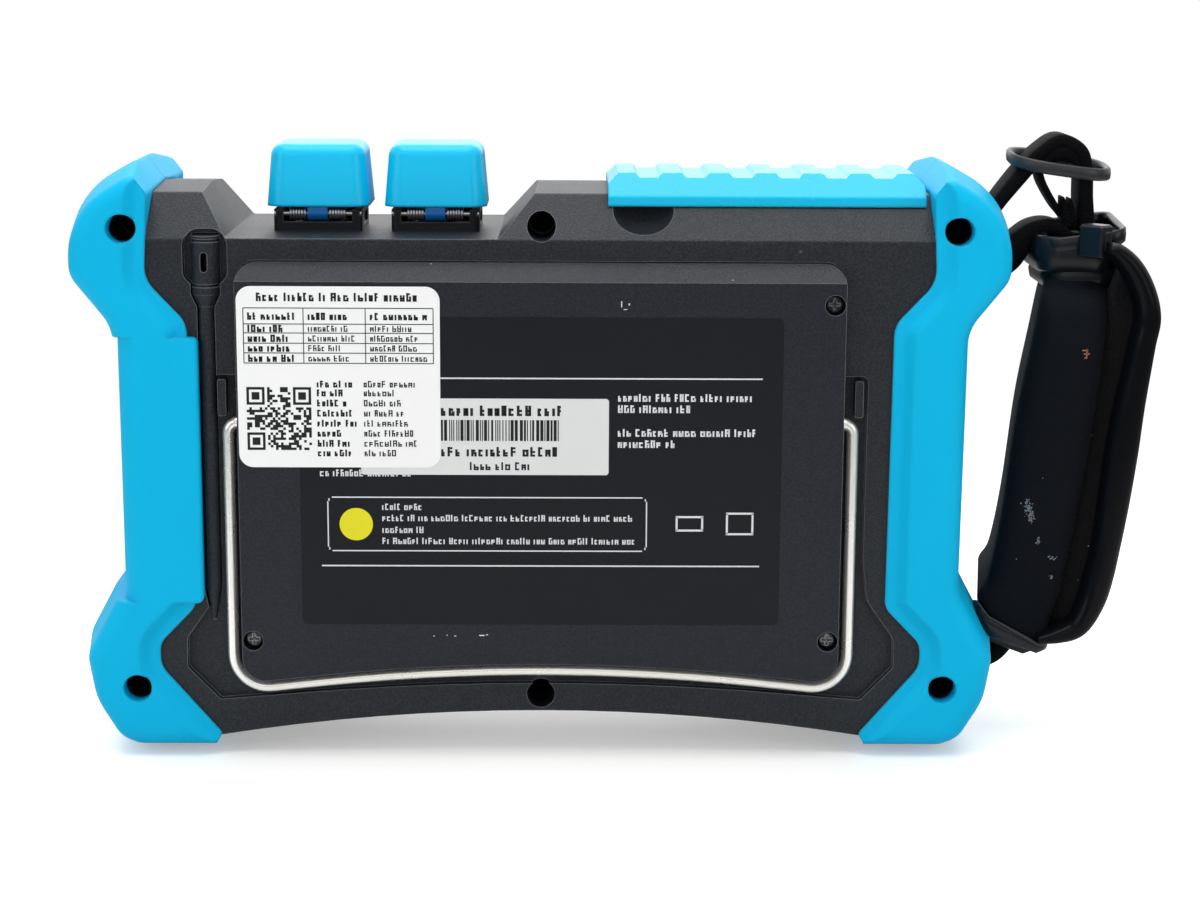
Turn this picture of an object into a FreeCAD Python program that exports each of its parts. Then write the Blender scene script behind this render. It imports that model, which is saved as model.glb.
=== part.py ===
"""Handheld optical time domain reflectometer with rubber corner guards, wire stand and hand strap.

Millimetres. +X is to the right as seen from the back of the case, +Y points from the back cover to the
screen, +Z is up. The origin is midway between the feet, on the surface that they stand on.
"""
import FreeCAD
import Part
import math
import os

os.makedirs("parts", exist_ok=True)
Vec = FreeCAD.Vector
X_AXIS = Vec(1, 0, 0)
Y_AXIS = Vec(0, 1, 0)
Z_AXIS = Vec(0, 0, 1)
FAR = 400.0

# ---- screen and key widths, which set the width of the case ----
screen_width = 118.0
lcd_margin = 3.0
key_board_width = 45.5
key_board_play = 0.5
key_screen_gap = 4.0
screen_side_gap = 10.0
cavity_width = (key_board_play + key_board_width + key_screen_gap + screen_width + 2 * lcd_margin
                + screen_side_gap)
cavity_half_width = cavity_width / 2
screen_z = 76.0
screen_height = 90.0
cavity_low = screen_z - screen_height / 2 - lcd_margin - 6.0
cavity_high = screen_z + screen_height / 2 + lcd_margin + 3.0

# ---- case, seen from the back ----
guard_reach = 25.5
guard_half_width = cavity_half_width + guard_reach
grip_inset = 10.1
grip_half_width = guard_half_width - grip_inset
guard_wall = 5.0
top_wall = 15.0
shell_top = cavity_high + top_wall
guard_rise = 6.1
guard_height = shell_top + guard_rise
arch_half_span = 84.0
arch_end_height = 4.5
arch_rise = 7.1

# ---- depths along Y ----
guard_back = -31.0
lip_back = -28.8
rim_back = -28.0
under_guard_back = -26.5
pocket_floor = -26.0
parting = 4.0
under_guard_front = 28.0
rim_front = 29.5
lip_front = 30.8
guard_front = 33.0
guard_edge_radius = 4.5
guard_draft = 3.2
draft_back = -10.0
draft_front = 12.0
chamfer_depth = 9.5
chamfer_drop = 11.5
front_chamfer_depth = 12.0
top_draft = 1.0

# ---- guard lip and the dip beside it ----
lip_width = 2.5
dip_width = 2.5

# ---- battery cover and wire stand ----
cover_back = -33.0
cover_top = cavity_high - 1.9
cover_corner = 5.0
cover_bevel = 5.0
cover_skin = 2.6
cover_fit = 0.3
wire_radius = 1.45
wire_y = -28.0
wire_inset = 15.1
wire_half_width = cavity_half_width - wire_inset
wire_pivot_z = 85.4
wire_corner_z = 16.9
wire_corner_radius = 8.5
wire_arch_z = 25.2
wire_arch_radius = 500.0
wire_elbow = 2.6
wire_grip = 4.6
wire_gap = 1.3
pivot_clearance = 0.05
stop_gap = 0.2
stop_width = 2.1
stop_height = 3.6
cover_screw_inset = 5.5
cover_screw_x = wire_half_width - cover_screw_inset
cover_screw_high = cover_top - 9.6
cover_screw_low = 31.0
cover_screw_head = 2.3
cover_screw_head_depth = 1.9
cover_screw_sink = 4.0
cover_screw_shank = 1.3
cover_screw_length = 14.0

# ---- cavity and what stands in it ----
cavity_back = -23.5
cavity_front = 27.0
board_back = 3.4
board_thick = 1.6
board_play = 4.0
board_half_width = cavity_half_width - board_play
board_low = cavity_low + board_play
board_top_play = 5.0
board_high = cavity_high - board_top_play
board_post_inset = 6.0
board_post_drop = 32.0
gasket_inset = 1.2
gasket_width = 1.5
gasket_depth = 1.2
bay_half_width = 40.0
bay_low = 30.0
bay_high = 84.0
bay_floor = -6.0
bay_wall = 2.0
pack_play = 0.3

# ---- case screws ----
screw_well = 3.5
screw_seat = -10.0
screw_head = 2.8
screw_head_depth = 2.4
screw_shank = 1.5
screw_play = 0.2
screw_end = 18.0
guard_screw_high = (guard_half_width - 16.0, guard_height - 14.9)
guard_screw_low = (guard_half_width - 16.7, 18.0)
middle_screw_high = cavity_high + 6.6
middle_screw_low = 15.9

# ---- optical ports ----
notch_left = -83.2
notch_right = -1.7
notch_floor = cavity_high + 3.7
notch_floor_left = -76.7
notch_floor_right = -10.4
port_left = -55.7
port_right = -26.5
port_y = -1.0
frame_size = 22.0
frame_wall = 2.0
frame_base = 0.6
frame_height = 5.3
cap_width = 25.5
cap_depth = 24.0
cap_top_shrink = 1.3
cap_low = notch_floor + 6.2
cap_height = 15.3
cap_high = cap_low + cap_height
cap_skin = 2.4
cap_edge = 3.0
hinge_y = -11.0
hinge_z = notch_floor + 4.4
hinge_pin_radius = 0.7
knuckle_radius = 1.75
knuckle_width = 5.0
spring_radius = 1.75
spring_wire = 0.35
spring_turns = 6
hinge_gap_width = 17.0
adapter_flange = 13.0
adapter_barrel = 5.0
adapter_top = notch_floor + 13.3
adapter_well = 3.9
adapter_well_depth = 7.0
sleeve_radius = 2.1
ferrule_bore = 1.25
ferrule_depth = 10.0
adapter_tail = 3.4
adapter_tail_end = cavity_high - 5.0
tail_play = 0.3

# ---- top port cover and the sockets under it ----
lid_inset = 23.2
lid_length = 78.0
lid_right = guard_half_width - lid_inset
lid_left = lid_right - lid_length
lid_back = -21.5
lid_edge_low = shell_top - 4.1
lid_edge_high = lid_edge_low + 2.7
lid_crest = lid_edge_high + 5.4
lid_valley = lid_crest - 1.1
lid_bevel = 5.5
lid_front = 16.0
lid_end_chamfer = 2.6
lid_clearance = 0.3
rib_count = 7
rib_pitch = 11.6
rib_crest = 4.6
rib_foot = 6.8
scoop_x = lid_left + 8.6
scoop_radius = 9.0
scoop_y = -25.5
scoop_z = lid_edge_low + 2.8
socket_top = shell_top - 1.5
socket_fit = 0.2
socket_back = parting - gasket_depth - 0.6
socket_room_back = -16.0
socket_room_front = socket_back + socket_fit
socket_room_left = lid_left - 2.3
socket_room_right = lid_right - 1.3
socket_room_top = shell_top - 3.4

# ---- optical module behind the ports ----
module_left = 5.4 - cover_screw_x
module_right = port_right + 14.5
module_low = 92.0
module_front = 1.6

# ---- broad rear face on the left grip ----
grip_low = 40.1
grip_high = guard_height - 41.5
grip_inner = grip_half_width - 23.7
grip_edge_x = grip_half_width - 4.2
grip_edge_radius = 6.0

# ---- stylus in its slot ----
stylus_aside = 4.8
stylus_x = -(wire_half_width + stylus_aside)
stylus_y = -26.5
stylus_head = 3.4
stylus_shaft = 2.0
stylus_top = shell_top - 10.7
stylus_shoulder = stylus_top - 14.3
stylus_neck = stylus_shoulder - 3.0
stylus_eye_low = stylus_top - 8.7
stylus_eye_high = stylus_top - 3.9
stylus_grooves = (stylus_top - 12.1, stylus_top - 1.1)
stylus_cone = 43.5
stylus_tip = 35.0
stylus_play = 0.15
slot_wall = 5.6
thumb_half_width = 5.4
thumb_low = 118.7
thumb_depth = 2.6

# ---- screen and keys ----
screen_x = cavity_half_width - screen_side_gap - lcd_margin - screen_width / 2
glass_border = 3.0
glass_width = screen_width + 2 * glass_border
glass_height = screen_height + 2 * glass_border
glass_thick = 1.8
glass_play = 0.2
screen_ledge = 0.8
lcd_thick = 6.9
key_board_left = -cavity_half_width + key_board_play
key_x = key_board_left + 23.5
key_proud = 1.6
key_play = 0.15
key_flange = 1.2
key_flange_thick = 1.2
key_seat_gap = 0.1
key_board_back = 23.0
key_board_front = 24.6


def flat(plane, level):
    """A function that puts a flat (a, b) point in space on the named plane."""
    if plane == "xz":
        return lambda a, b: Vec(a, level, b)
    if plane == "yz":
        return lambda a, b: Vec(level, a, b)
    return lambda a, b: Vec(a, b, level)


def rounded_edges(corners, place, closed=True):
    """Straight edges between (a, b, radius) corners, with a tangent arc at each corner that has a radius."""
    count = len(corners)
    stops = []
    for i, (a, b, radius) in enumerate(corners):
        corner = Vec(a, b, 0)
        if not closed and i in (0, count - 1):
            stops.append((corner, None, corner))
            continue
        before = Vec(corners[i - 1][0], corners[i - 1][1], 0) - corner
        after = Vec(corners[(i + 1) % count][0], corners[(i + 1) % count][1], 0) - corner
        before.normalize()
        after.normalize()
        opening = before.getAngle(after)
        if radius <= 0 or opening > math.pi - 1e-6:
            stops.append((corner, None, corner))
            continue
        reach = radius / math.tan(opening / 2)
        middle = before + after
        middle.normalize()
        bulge = corner + middle * (radius / math.sin(opening / 2) - radius)
        stops.append((corner + before * reach, bulge, corner + after * reach))
    edges = []
    for i in range(count if closed else count - 1):
        start, bulge, end = stops[i]
        following = stops[(i + 1) % count][0]
        if bulge is not None:
            points = [place(p.x, p.y) for p in (start, bulge, end)]
            edges.append(Part.Arc(*points).toShape())
        if (following - end).Length > 1e-5:
            edges.append(Part.LineSegment(place(end.x, end.y), place(following.x, following.y)).toShape())
    return edges


def outline(corners, plane, level):
    return Part.Wire(rounded_edges(corners, flat(plane, level)))


def prism(corners, plane, low, high):
    """A flat outline pushed along the axis that its plane faces."""
    push = {"xz": Y_AXIS, "yz": X_AXIS, "xy": Z_AXIS}[plane]
    return Part.Face(outline(corners, plane, low)).extrude(push * (high - low))


def taper(corners_low, corners_high, plane, low, high):
    """A straight-sided solid between two outlines with the same corners."""
    return Part.makeLoft([outline(corners_low, plane, low), outline(corners_high, plane, high)], True, True)


def grown(corners, margin):
    """The outline moved outwards by a margin, with its radii following."""
    area = 0.0
    count = len(corners)
    for i in range(count):
        a, b = corners[i], corners[(i + 1) % count]
        area += a[0] * b[1] - b[0] * a[1]
    hand = 1.0 if area > 0 else -1.0
    moved = []
    for i in range(count):
        before, here, after = corners[i - 1], corners[i], corners[(i + 1) % count]
        u = Vec(here[0] - before[0], here[1] - before[1], 0)
        w = Vec(after[0] - here[0], after[1] - here[1], 0)
        u.normalize()
        w.normalize()
        out_u = Vec(u.y, -u.x, 0) * hand
        out_w = Vec(w.y, -w.x, 0) * hand
        spread = 1.0 + out_u.dot(out_w)
        shift = (out_u + out_w) * (margin / spread)
        bend = (u.x * w.y - u.y * w.x) * hand
        radius = here[2]
        if radius > 0:
            radius = max(radius + (margin if bend > 0 else -margin), 0.2)
        moved.append((here[0] + shift.x, here[1] + shift.y, radius))
    return moved


def both_sides(right_side):
    """A closed outline from its right half, listed from the top down, and its mirror image."""
    mirrored = [(-a, b, radius) for a, b, radius in reversed(right_side) if a > 0]
    return right_side + mirrored


def box(x_low, x_high, y_low, y_high, z_low, z_high):
    return Part.makeBox(x_high - x_low, y_high - y_low, z_high - z_low, Vec(x_low, y_low, z_low))


def rod(x, y, z, along, radius, length):
    return Part.makeCylinder(radius, length, Vec(x, y, z), along)


def rounded_box(x_low, x_high, y_low, y_high, z_low, z_high, radius, plane="xz"):
    if plane == "xz":
        corners = [(x_low, z_low, radius), (x_high, z_low, radius), (x_high, z_high, radius),
                   (x_low, z_high, radius)]
        return prism(corners, plane, y_low, y_high)
    corners = [(x_low, y_low, radius), (x_high, y_low, radius), (x_high, y_high, radius),
               (x_low, y_high, radius)]
    return prism(corners, plane, z_low, z_high)


def cut(shape, tools):
    for tool in tools:
        shape = shape.cut(tool)
    return shape


def solids(shape):
    """The shape as one solid, or as a group of them."""
    found = [s for s in shape.Solids if s.Volume > 1e-3]
    return found[0] if len(found) == 1 else Part.makeCompound(found)


# ---- outlines in the XZ plane ----
side = guard_half_width
top = guard_height
guard_side = [
    (side - 16.7, top, 7.0), (side, top - 9.6, 22.0), (side, top - 27.6, 10.0),
    (grip_half_width, top - 40.3, 8.0), (grip_half_width - 0.3, 43.6, 4.0), (side - 1.1, 26.3, 9.0),
    (side - 3.2, 13.5, 20.0), (side - 10.0, 2.2, 10.0), (side - 16.0, 0.0, 8.0)]
guard_outline = both_sides(guard_side)

grip_lip = grip_half_width - 20.9
window_side = [
    (side - 16.1, top + 1.4, 0.0), (side - 22.1, top - 6.5, 2.0), (side - 21.0, top - 27.5, 8.0),
    (grip_lip, top - 38.1, 7.0), (grip_lip - 0.4, 38.6, 4.5), (side - 22.3, 29.2, 5.0),
    (side - 22.3, 23.1, 6.0), (side - 37.3, 5.6, 1.2), (side - 33.1, -1.5, 0.0)]
window_outline = both_sides(window_side)

# the dip beside the lip runs straight out past the guard's ends
dip_side = [
    (side - 22.5, top + 7.9, 0.0), (side - 21.0, top - 27.5, 8.0), (grip_lip, top - 38.1, 7.0),
    (grip_lip - 0.4, 38.6, 4.5), (side - 22.3, 29.2, 5.0), (side - 22.3, 23.1, 6.0), (side - 49.3, -8.4, 0.0)]
dip_outline = both_sides(dip_side)

wire_loop = [
    (wire_half_width, cover_top + wire_radius + wire_gap, cover_corner + wire_radius + wire_gap),
    (wire_half_width, wire_corner_z, wire_corner_radius), (0.0, wire_arch_z, wire_arch_radius),
    (-wire_half_width, wire_corner_z, wire_corner_radius),
    (-wire_half_width, cover_top + wire_radius + wire_gap, cover_corner + wire_radius + wire_gap)]
cover_outline = grown(wire_loop, -(wire_radius + wire_gap))

beside_wire = wire_half_width + 3.4
pocket_side = [
    (beside_wire + 0.1, 97.2, 1.5), (beside_wire, 50.3, 30.0), (beside_wire + 1.3, 40.2, 6.0),
    (beside_wire + 8.1, 30.5, 3.0), (beside_wire + 8.3, 22.9, 2.5), (beside_wire + 0.2, 14.4, 1.2),
    (0.0, 21.3, 700.0)]
pocket_outline = both_sides(pocket_side)

# ---- section of the shells in the YZ plane ----
top_section = [
    (rim_back, -FAR, 0), (rim_back, shell_top - chamfer_drop, 0.8),
    (rim_back + chamfer_depth, shell_top - top_draft, 1.5), (parting, shell_top, 0),
    (rim_front - front_chamfer_depth, shell_top - top_draft, 3.0),
    (rim_front, shell_top - chamfer_drop, 1.5), (rim_front, -FAR, 0)]


def shell_block(low, high, under_guard, rim):
    """One half of the case as a block: set in under the guards, standing up to its rim between them."""
    core = grown(guard_outline, -guard_wall)
    side = prism(core, "xz", low, high)
    between = prism(window_outline, "xz", *sorted((under_guard, rim)))
    lifted = prism(core, "xz", *sorted((under_guard, rim))).common(between)
    block = side.fuse(lifted)
    block = block.common(prism(top_section, "yz", -FAR, FAR))
    arch_radius = (arch_half_span ** 2 + arch_rise ** 2) / (2 * arch_rise)
    arch = rod(0, -FAR, arch_end_height + arch_rise - arch_radius, Y_AXIS, arch_radius, 2 * FAR)
    block = block.cut(arch.common(box(-arch_half_span, arch_half_span, -FAR, FAR, -FAR, FAR)))
    return block.removeSplitter()


def notch():
    """The sloped recess across the top edge that holds the two optical ports."""
    lean_left = (notch_floor_left - notch_left) / (shell_top - top_draft - notch_floor)
    lean_right = (notch_right - notch_floor_right) / (shell_top - top_draft - notch_floor)
    rise = 20.0
    corners = [(notch_floor_left - lean_left * rise, notch_floor + rise, 0),
               (notch_floor_left, notch_floor, 1.0), (notch_floor_right, notch_floor, 1.0),
               (notch_floor_right + lean_right * rise, notch_floor + rise, 0)]
    return prism(corners, "xz", -FAR, FAR)


def case_screw_places():
    places = [(0.0, middle_screw_high), (0.0, middle_screw_low)]
    for side in (-1, 1):
        places.append((side * guard_screw_high[0], guard_screw_high[1]))
        places.append((side * guard_screw_low[0], guard_screw_low[1]))
    return places


def cover_screw_places():
    return [(side * cover_screw_x, z) for side in (-1, 1) for z in (cover_screw_low, cover_screw_high)]


def board_posts():
    reach = board_half_width - board_post_inset
    heights = (board_low + board_post_inset, board_high - board_post_drop)
    return [(side * reach, z) for side in (-1, 1) for z in heights]


# the sockets stay spread along the room under the port cover, so their places follow its length
sockets = {
    "dc_jack": (lid_left + 0.15 * lid_length, 9.6, 10.5, 14.0),
    "usb_a_jack": (lid_left + 0.355128 * lid_length, 14.5, 7.4, 15.0),
    "lan_jack": (lid_left + 0.617949 * lid_length, 16.0, 13.6, 20.0),
    "usb_b_jack": (lid_left + 0.867949 * lid_length, 12.2, 11.2, 16.0)}



def stylus_turned(margin, foot):
    """The stylus as a turned body, or its slot when a margin is given."""
    head = stylus_head + margin
    shaft = stylus_shaft + margin
    profile = [Vec(0, 0, stylus_tip - foot), Vec(margin + 0.5, 0, stylus_tip - foot),
               Vec(shaft, 0, stylus_cone), Vec(shaft, 0, stylus_neck), Vec(head, 0, stylus_shoulder),
               Vec(head, 0, stylus_top + foot), Vec(0, 0, stylus_top + foot), Vec(0, 0, stylus_tip - foot)]
    turned = Part.Face(Part.makePolygon(profile)).revolve(Vec(0, 0, 0), Z_AXIS, 360)
    turned.translate(Vec(stylus_x, stylus_y, 0))
    return turned


def stylus_slot():
    """Room for the stylus: half round at the bottom, straight sides up to the rim."""
    slot = stylus_turned(stylus_play, 0.4)
    head = stylus_head + stylus_play
    shaft = stylus_shaft + stylus_play
    sides = prism([(stylus_x - 0.5, stylus_tip - 0.4, 0), (stylus_x + 0.5, stylus_tip - 0.4, 0),
                   (stylus_x + shaft, stylus_cone, 0), (stylus_x + shaft, stylus_neck, 0),
                   (stylus_x + head, stylus_shoulder, 0), (stylus_x + head, stylus_top + 0.4, 1.5),
                   (stylus_x - head, stylus_top + 0.4, 1.5), (stylus_x - head, stylus_shoulder, 0),
                   (stylus_x - shaft, stylus_neck, 0), (stylus_x - shaft, stylus_cone, 0)],
                  "xz", rim_back - 4.0, stylus_y)
    return slot.fuse(sides)


def make_rear_shell():
    shell = shell_block(under_guard_back, parting, under_guard_back, rim_back)
    shell = shell.cut(notch())
    seat = prism(grown(cover_outline, cover_fit), "xz", rim_back - 1.0, pocket_floor)
    pocket = prism(pocket_outline, "xz", rim_back - 1.0, pocket_floor)
    foot = thumb_half_width / 2
    thumb = prism([(stylus_x - foot, thumb_low, 1.5), (stylus_x + foot, thumb_low, 1.5),
                   (stylus_x + thumb_half_width, thumb_low + foot, 3.0),
                   (stylus_x + thumb_half_width, stylus_top + 1.5, 4.0),
                   (stylus_x - thumb_half_width, stylus_top + 1.5, 4.0),
                   (stylus_x - thumb_half_width, thumb_low + foot, 3.0)],
                  "xz", rim_back - 1.0, rim_back + thumb_depth)
    shell = cut(shell, [seat, pocket, stylus_slot(), thumb])
    room = rounded_box(-cavity_half_width, cavity_half_width, cavity_back, parting + 1.0,
                       cavity_low, cavity_high, 4.0)
    slot_cover = box(stylus_x - slot_wall, stylus_x + slot_wall, cavity_back - 1.0,
                     stylus_y + slot_wall + 1.0, stylus_tip - slot_wall, FAR)
    keep = [slot_cover]
    bay = box(-bay_half_width - bay_wall, bay_half_width + bay_wall, cavity_back - 1.0,
              bay_floor + bay_wall, bay_low - bay_wall, bay_high + bay_wall)
    keep.append(bay)
    for x, z in cover_screw_places():
        keep.append(rod(x, cavity_back - 1.0, z, Y_AXIS, cover_screw_shank + 2.0, cover_screw_length - 3.0))
    for x, z in board_posts():
        keep.append(rod(x, cavity_back - 1.0, z, Y_AXIS, 3.5, board_back - cavity_back + 1.0))
    shell = shell.cut(cut(room, keep))
    shell = shell.cut(box(-bay_half_width, bay_half_width, rim_back - 1.0, bay_floor, bay_low, bay_high))
    shell = shell.cut(box(socket_room_left, socket_room_right, socket_room_back, socket_room_front,
                          cavity_high - 1.0, socket_room_top))
    for x, width, depth, height in sockets.values():
        shell = shell.cut(box(x - width / 2 - socket_fit, x + width / 2 + socket_fit,
                              socket_back - depth - socket_fit, socket_back + socket_fit, cavity_high, FAR))
    shell = shell.cut(Part.makeSphere(scoop_radius, Vec(scoop_x, scoop_y, scoop_z)))
    for x, z in case_screw_places():
        shell = shell.cut(rod(x, -FAR, z, Y_AXIS, screw_well, FAR + screw_seat))
        shell = shell.cut(rod(x, -FAR, z, Y_AXIS, screw_shank + screw_play, 2 * FAR))
    for x, z in cover_screw_places():
        shell = shell.cut(rod(x, rim_back, z, Y_AXIS, cover_screw_shank, cover_screw_length - 3.0))
    for x in (port_left, port_right):
        shell = shell.cut(rod(x, port_y, cavity_high - 2.0, Z_AXIS, adapter_tail + tail_play, 10.0))
    shell = shell.cut(gasket_ring())
    shell = cut(shell, strap_pockets())
    return shell


def gasket_ring():
    inner = [(-cavity_half_width, cavity_low, 4.0), (cavity_half_width, cavity_low, 4.0),
             (cavity_half_width, cavity_high, 4.0), (-cavity_half_width, cavity_high, 4.0)]
    inner = grown(inner, gasket_inset)
    outer = grown(inner, gasket_width)
    low = parting - gasket_depth
    return prism(outer, "xz", low, parting).cut(prism(inner, "xz", low, parting))


def make_front_shell():
    shell = shell_block(parting, under_guard_front, under_guard_front, rim_front)
    shell = shell.cut(notch())
    room = rounded_box(-cavity_half_width, cavity_half_width, parting - 1.0, cavity_front,
                       cavity_low, cavity_high, 4.0)
    shell = shell.cut(room)
    half_w, half_h = glass_width / 2 + glass_play, glass_height / 2 + glass_play
    shell = shell.cut(rounded_box(screen_x - half_w, screen_x + half_w, rim_front - glass_thick, FAR,
                                  screen_z - half_h, screen_z + half_h, 3.0))
    shell = shell.cut(rounded_box(screen_x - screen_width / 2, screen_x + screen_width / 2, 0, FAR,
                                  screen_z - screen_height / 2, screen_z + screen_height / 2, 2.0))
    for x, z in case_screw_places():
        shell = shell.cut(rod(x, 0, z, Y_AXIS, screw_shank, screw_end + 1.0))
    for name, (x, z, half_w, half_h, radius) in keys.items():
        shell = shell.cut(rounded_box(x - half_w - key_play, x + half_w + key_play, 0, FAR,
                                      z - half_h - key_play, z + half_h + key_play, radius + key_play))
    for z in led_heights:
        shell = shell.cut(rod(led_x, 0, z, Y_AXIS, led_radius, FAR))
    for i in range(speaker_slots):
        x = key_x + (i - (speaker_slots - 1) / 2) * speaker_slot_pitch
        shell = shell.cut(rounded_box(x - 0.7, x + 0.7, 20.0, FAR, speaker_z - 5.5, speaker_z + 5.5, 0.69))
    return cut(shell, strap_pockets())


# name: centre x, centre z, half width, half height, corner radius
keys = {
    "key_power": (key_x, 119.0, 5.0, 5.0, 4.95),
    "key_esc": (key_x - 10.5, 102.0, 6.0, 4.0, 2.5),
    "key_file": (key_x + 10.5, 102.0, 6.0, 4.0, 2.5),
    "key_up": (key_x, 85.5, 5.5, 3.6, 2.5),
    "key_left": (key_x - 13.0, 73.0, 3.6, 5.5, 2.5),
    "key_ok": (key_x, 73.0, 6.0, 6.0, 5.95),
    "key_right": (key_x + 13.0, 73.0, 3.6, 5.5, 2.5),
    "key_down": (key_x, 60.5, 5.5, 3.6, 2.5),
    "key_auto": (key_x - 10.5, 45.0, 6.0, 4.0, 2.5),
    "key_test": (key_x + 10.5, 45.0, 6.0, 4.0, 2.5)}
led_x = key_x + 16.0
led_heights = (115.0, 119.0, 123.0)
led_radius = 1.3
speaker_z = cavity_low + 7.5
speaker_slots = 7
speaker_slot_pitch = 2.8
speaker_radius = 7.0
film_inset = 12.4
sticker_width = 49.2
sticker_height = 44.6
sticker_corner = 3.5


def make_key(x, z, half_w, half_h, radius):
    top = rim_front + key_proud
    seat = cavity_front - key_seat_gap
    stem = rounded_box(x - half_w, x + half_w, seat - key_flange_thick, top, z - half_h, z + half_h, radius)
    rim = [edge for edge in stem.Edges if abs(edge.BoundBox.YMin - top) < 1e-3]
    stem = stem.makeFillet(0.7, rim)
    flange = rounded_box(x - half_w - key_flange, x + half_w + key_flange, seat - key_flange_thick, seat,
                         z - half_h - key_flange, z + half_h + key_flange, radius)
    return stem.fuse(flange).removeSplitter()


def guard_envelope(straight_to, face):
    """The outer form of one pair of guards: straight from the parting, then drafted in to a rounded face."""
    block = prism(guard_outline, "xz", *sorted((parting, straight_to)))
    block = block.fuse(taper(guard_outline, grown(guard_outline, -guard_draft), "xz", straight_to, face))
    rim = []
    for edge in block.Edges:
        bounds = edge.BoundBox
        if abs(bounds.YMin - face) < 1e-3 and abs(bounds.YMax - face) < 1e-3:
            rim.append(edge)
    return block.makeFillet(guard_edge_radius, rim)


def guard_half(rear):
    if rear:
        block = guard_envelope(draft_back, guard_back)
        shell = shell_block(under_guard_back, parting, under_guard_back, rim_back)
        face, lip = guard_back, lip_back
    else:
        block = guard_envelope(draft_front, guard_front)
        shell = shell_block(parting, under_guard_front, under_guard_front, rim_front)
        face, lip = guard_front, lip_front
    block = block.cut(shell)
    block = block.cut(prism(window_outline, "xz", -FAR, FAR))
    near = grown(dip_outline, lip_width)
    beyond = grown(dip_outline, lip_width + 2 * dip_width)
    past = 2 * face - lip
    dip = taper(near, beyond, "xz", lip, past)
    block = block.cut(dip)
    for x, z in case_screw_places():
        if rear:
            block = block.cut(rod(x, -FAR, z, Y_AXIS, screw_well, FAR))
    return block


def split_guards(block):
    left = block.common(box(-FAR, 0, -FAR, FAR, -FAR, FAR))
    right = block.common(box(0, FAR, -FAR, FAR, -FAR, FAR))
    return left, right


def grip_face():
    """The left guard's broad rear face down the grip, with its soft outer edge."""
    section = [(-grip_inner, guard_back, 0.8), (-grip_edge_x, guard_back, grip_edge_radius),
               (-grip_half_width, parting, 0), (-grip_inner, parting, 0)]
    corners = [(-grip_inner, grip_low, 1.6), (-grip_inner, grip_high, 1.6), (-FAR, grip_high, 0),
               (-FAR, grip_low, 0)]
    face = prism(section, "xy", grip_low, grip_high).common(prism(corners, "xz", -FAR, FAR))
    return face.cut(shell_block(under_guard_back, parting, under_guard_back, rim_back))


def make_battery_cover():
    cover = prism(cover_outline, "xz", cover_back, pocket_floor)
    bevel_run = cover_bevel * 0.84
    wedge = prism([(cover_back - 1.0, cover_top + 1.0, 0), (cover_back - 1.0, cover_top - bevel_run, 0),
                   (cover_back, cover_top - bevel_run, 0), (cover_back + cover_bevel, cover_top, 0),
                   (cover_back + cover_bevel, cover_top + 1.0, 0)], "yz", -FAR, FAR)
    cover = cover.cut(wedge)
    inner = cover_screw_x - 4.4
    cover = cover.cut(rounded_box(-inner, inner, cover_back + cover_skin, pocket_floor + 1.0,
                                  cover_screw_low - 4.0, cover_screw_high - 5.0, 6.0))
    for x, z in cover_screw_places():
        cover = cover.cut(rod(x, cover_back - 1.0, z, Y_AXIS, cover_screw_head + 0.2, cover_screw_sink + 1.0))
        cover = cover.cut(rod(x, cover_back - 1.0, z, Y_AXIS, cover_screw_shank + 0.15, 20.0))
    hole_end = wire_half_width - wire_grip
    for side in (-1, 1):
        along = X_AXIS * side
        cover = cover.cut(rod(side * (hole_end - 0.3), wire_y, wire_pivot_z, along,
                              wire_radius + pivot_clearance, 10.0))
        cover = cover.cut(rod(side * (wire_half_width - wire_elbow - 0.4), wire_y, wire_pivot_z, along,
                              wire_elbow + wire_radius + 0.3, 10.0))
    return cover


def make_screws(places, seat, head, head_depth, shank, end):
    """Pan head screws along +Y, each with a cross recess; seat is where the head bears."""
    group = []
    for x, z in places:
        top = seat - head_depth
        body = rod(x, top, z, Y_AXIS, head, head_depth)
        rim = [e for e in body.Edges if e.BoundBox.YLength < 1e-6 and abs(e.BoundBox.YMin - top) < 1e-3]
        body = body.makeFillet(head_depth * 0.35, rim)
        body = body.fuse(rod(x, seat, z, Y_AXIS, shank, end - seat))
        arm = head * 0.55
        slot = head * 0.12
        recess = box(x - arm, x + arm, top - 1.0, top + head_depth * 0.5, z - slot, z + slot)
        recess = recess.fuse(box(x - slot, x + slot, top - 1.0, top + head_depth * 0.5, z - arm, z + arm))
        group.append(body.cut(recess))
    return Part.makeCompound(group)


def make_stand_wire():
    hole_end = wire_half_width - wire_grip
    right = [(hole_end, wire_pivot_z, 0), (wire_half_width, wire_pivot_z, wire_elbow),
             (wire_half_width, wire_corner_z, wire_corner_radius)]
    left = [(-x, z, radius) for x, z, radius in reversed(right)]
    path = Part.Wire(rounded_edges(right + [(0.0, wire_arch_z, wire_arch_radius)] + left,
                                   flat("xz", wire_y), closed=False))
    section = Part.Wire(Part.makeCircle(wire_radius, Vec(hole_end, wire_y, wire_pivot_z), X_AXIS))
    return path.makePipeShell([section], True, False)


def make_stand_stops():
    blocks = []
    for side in (-1, 1):
        near = wire_half_width + stop_gap
        low, high = sorted((side * near, side * (near + stop_width)))
        block = rounded_box(low, high, pocket_floor - stop_height, pocket_floor, wire_pivot_z + 1.8,
                            wire_pivot_z + 10.9, 0.5)
        blocks.append(block)
    return Part.makeCompound(blocks)


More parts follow.
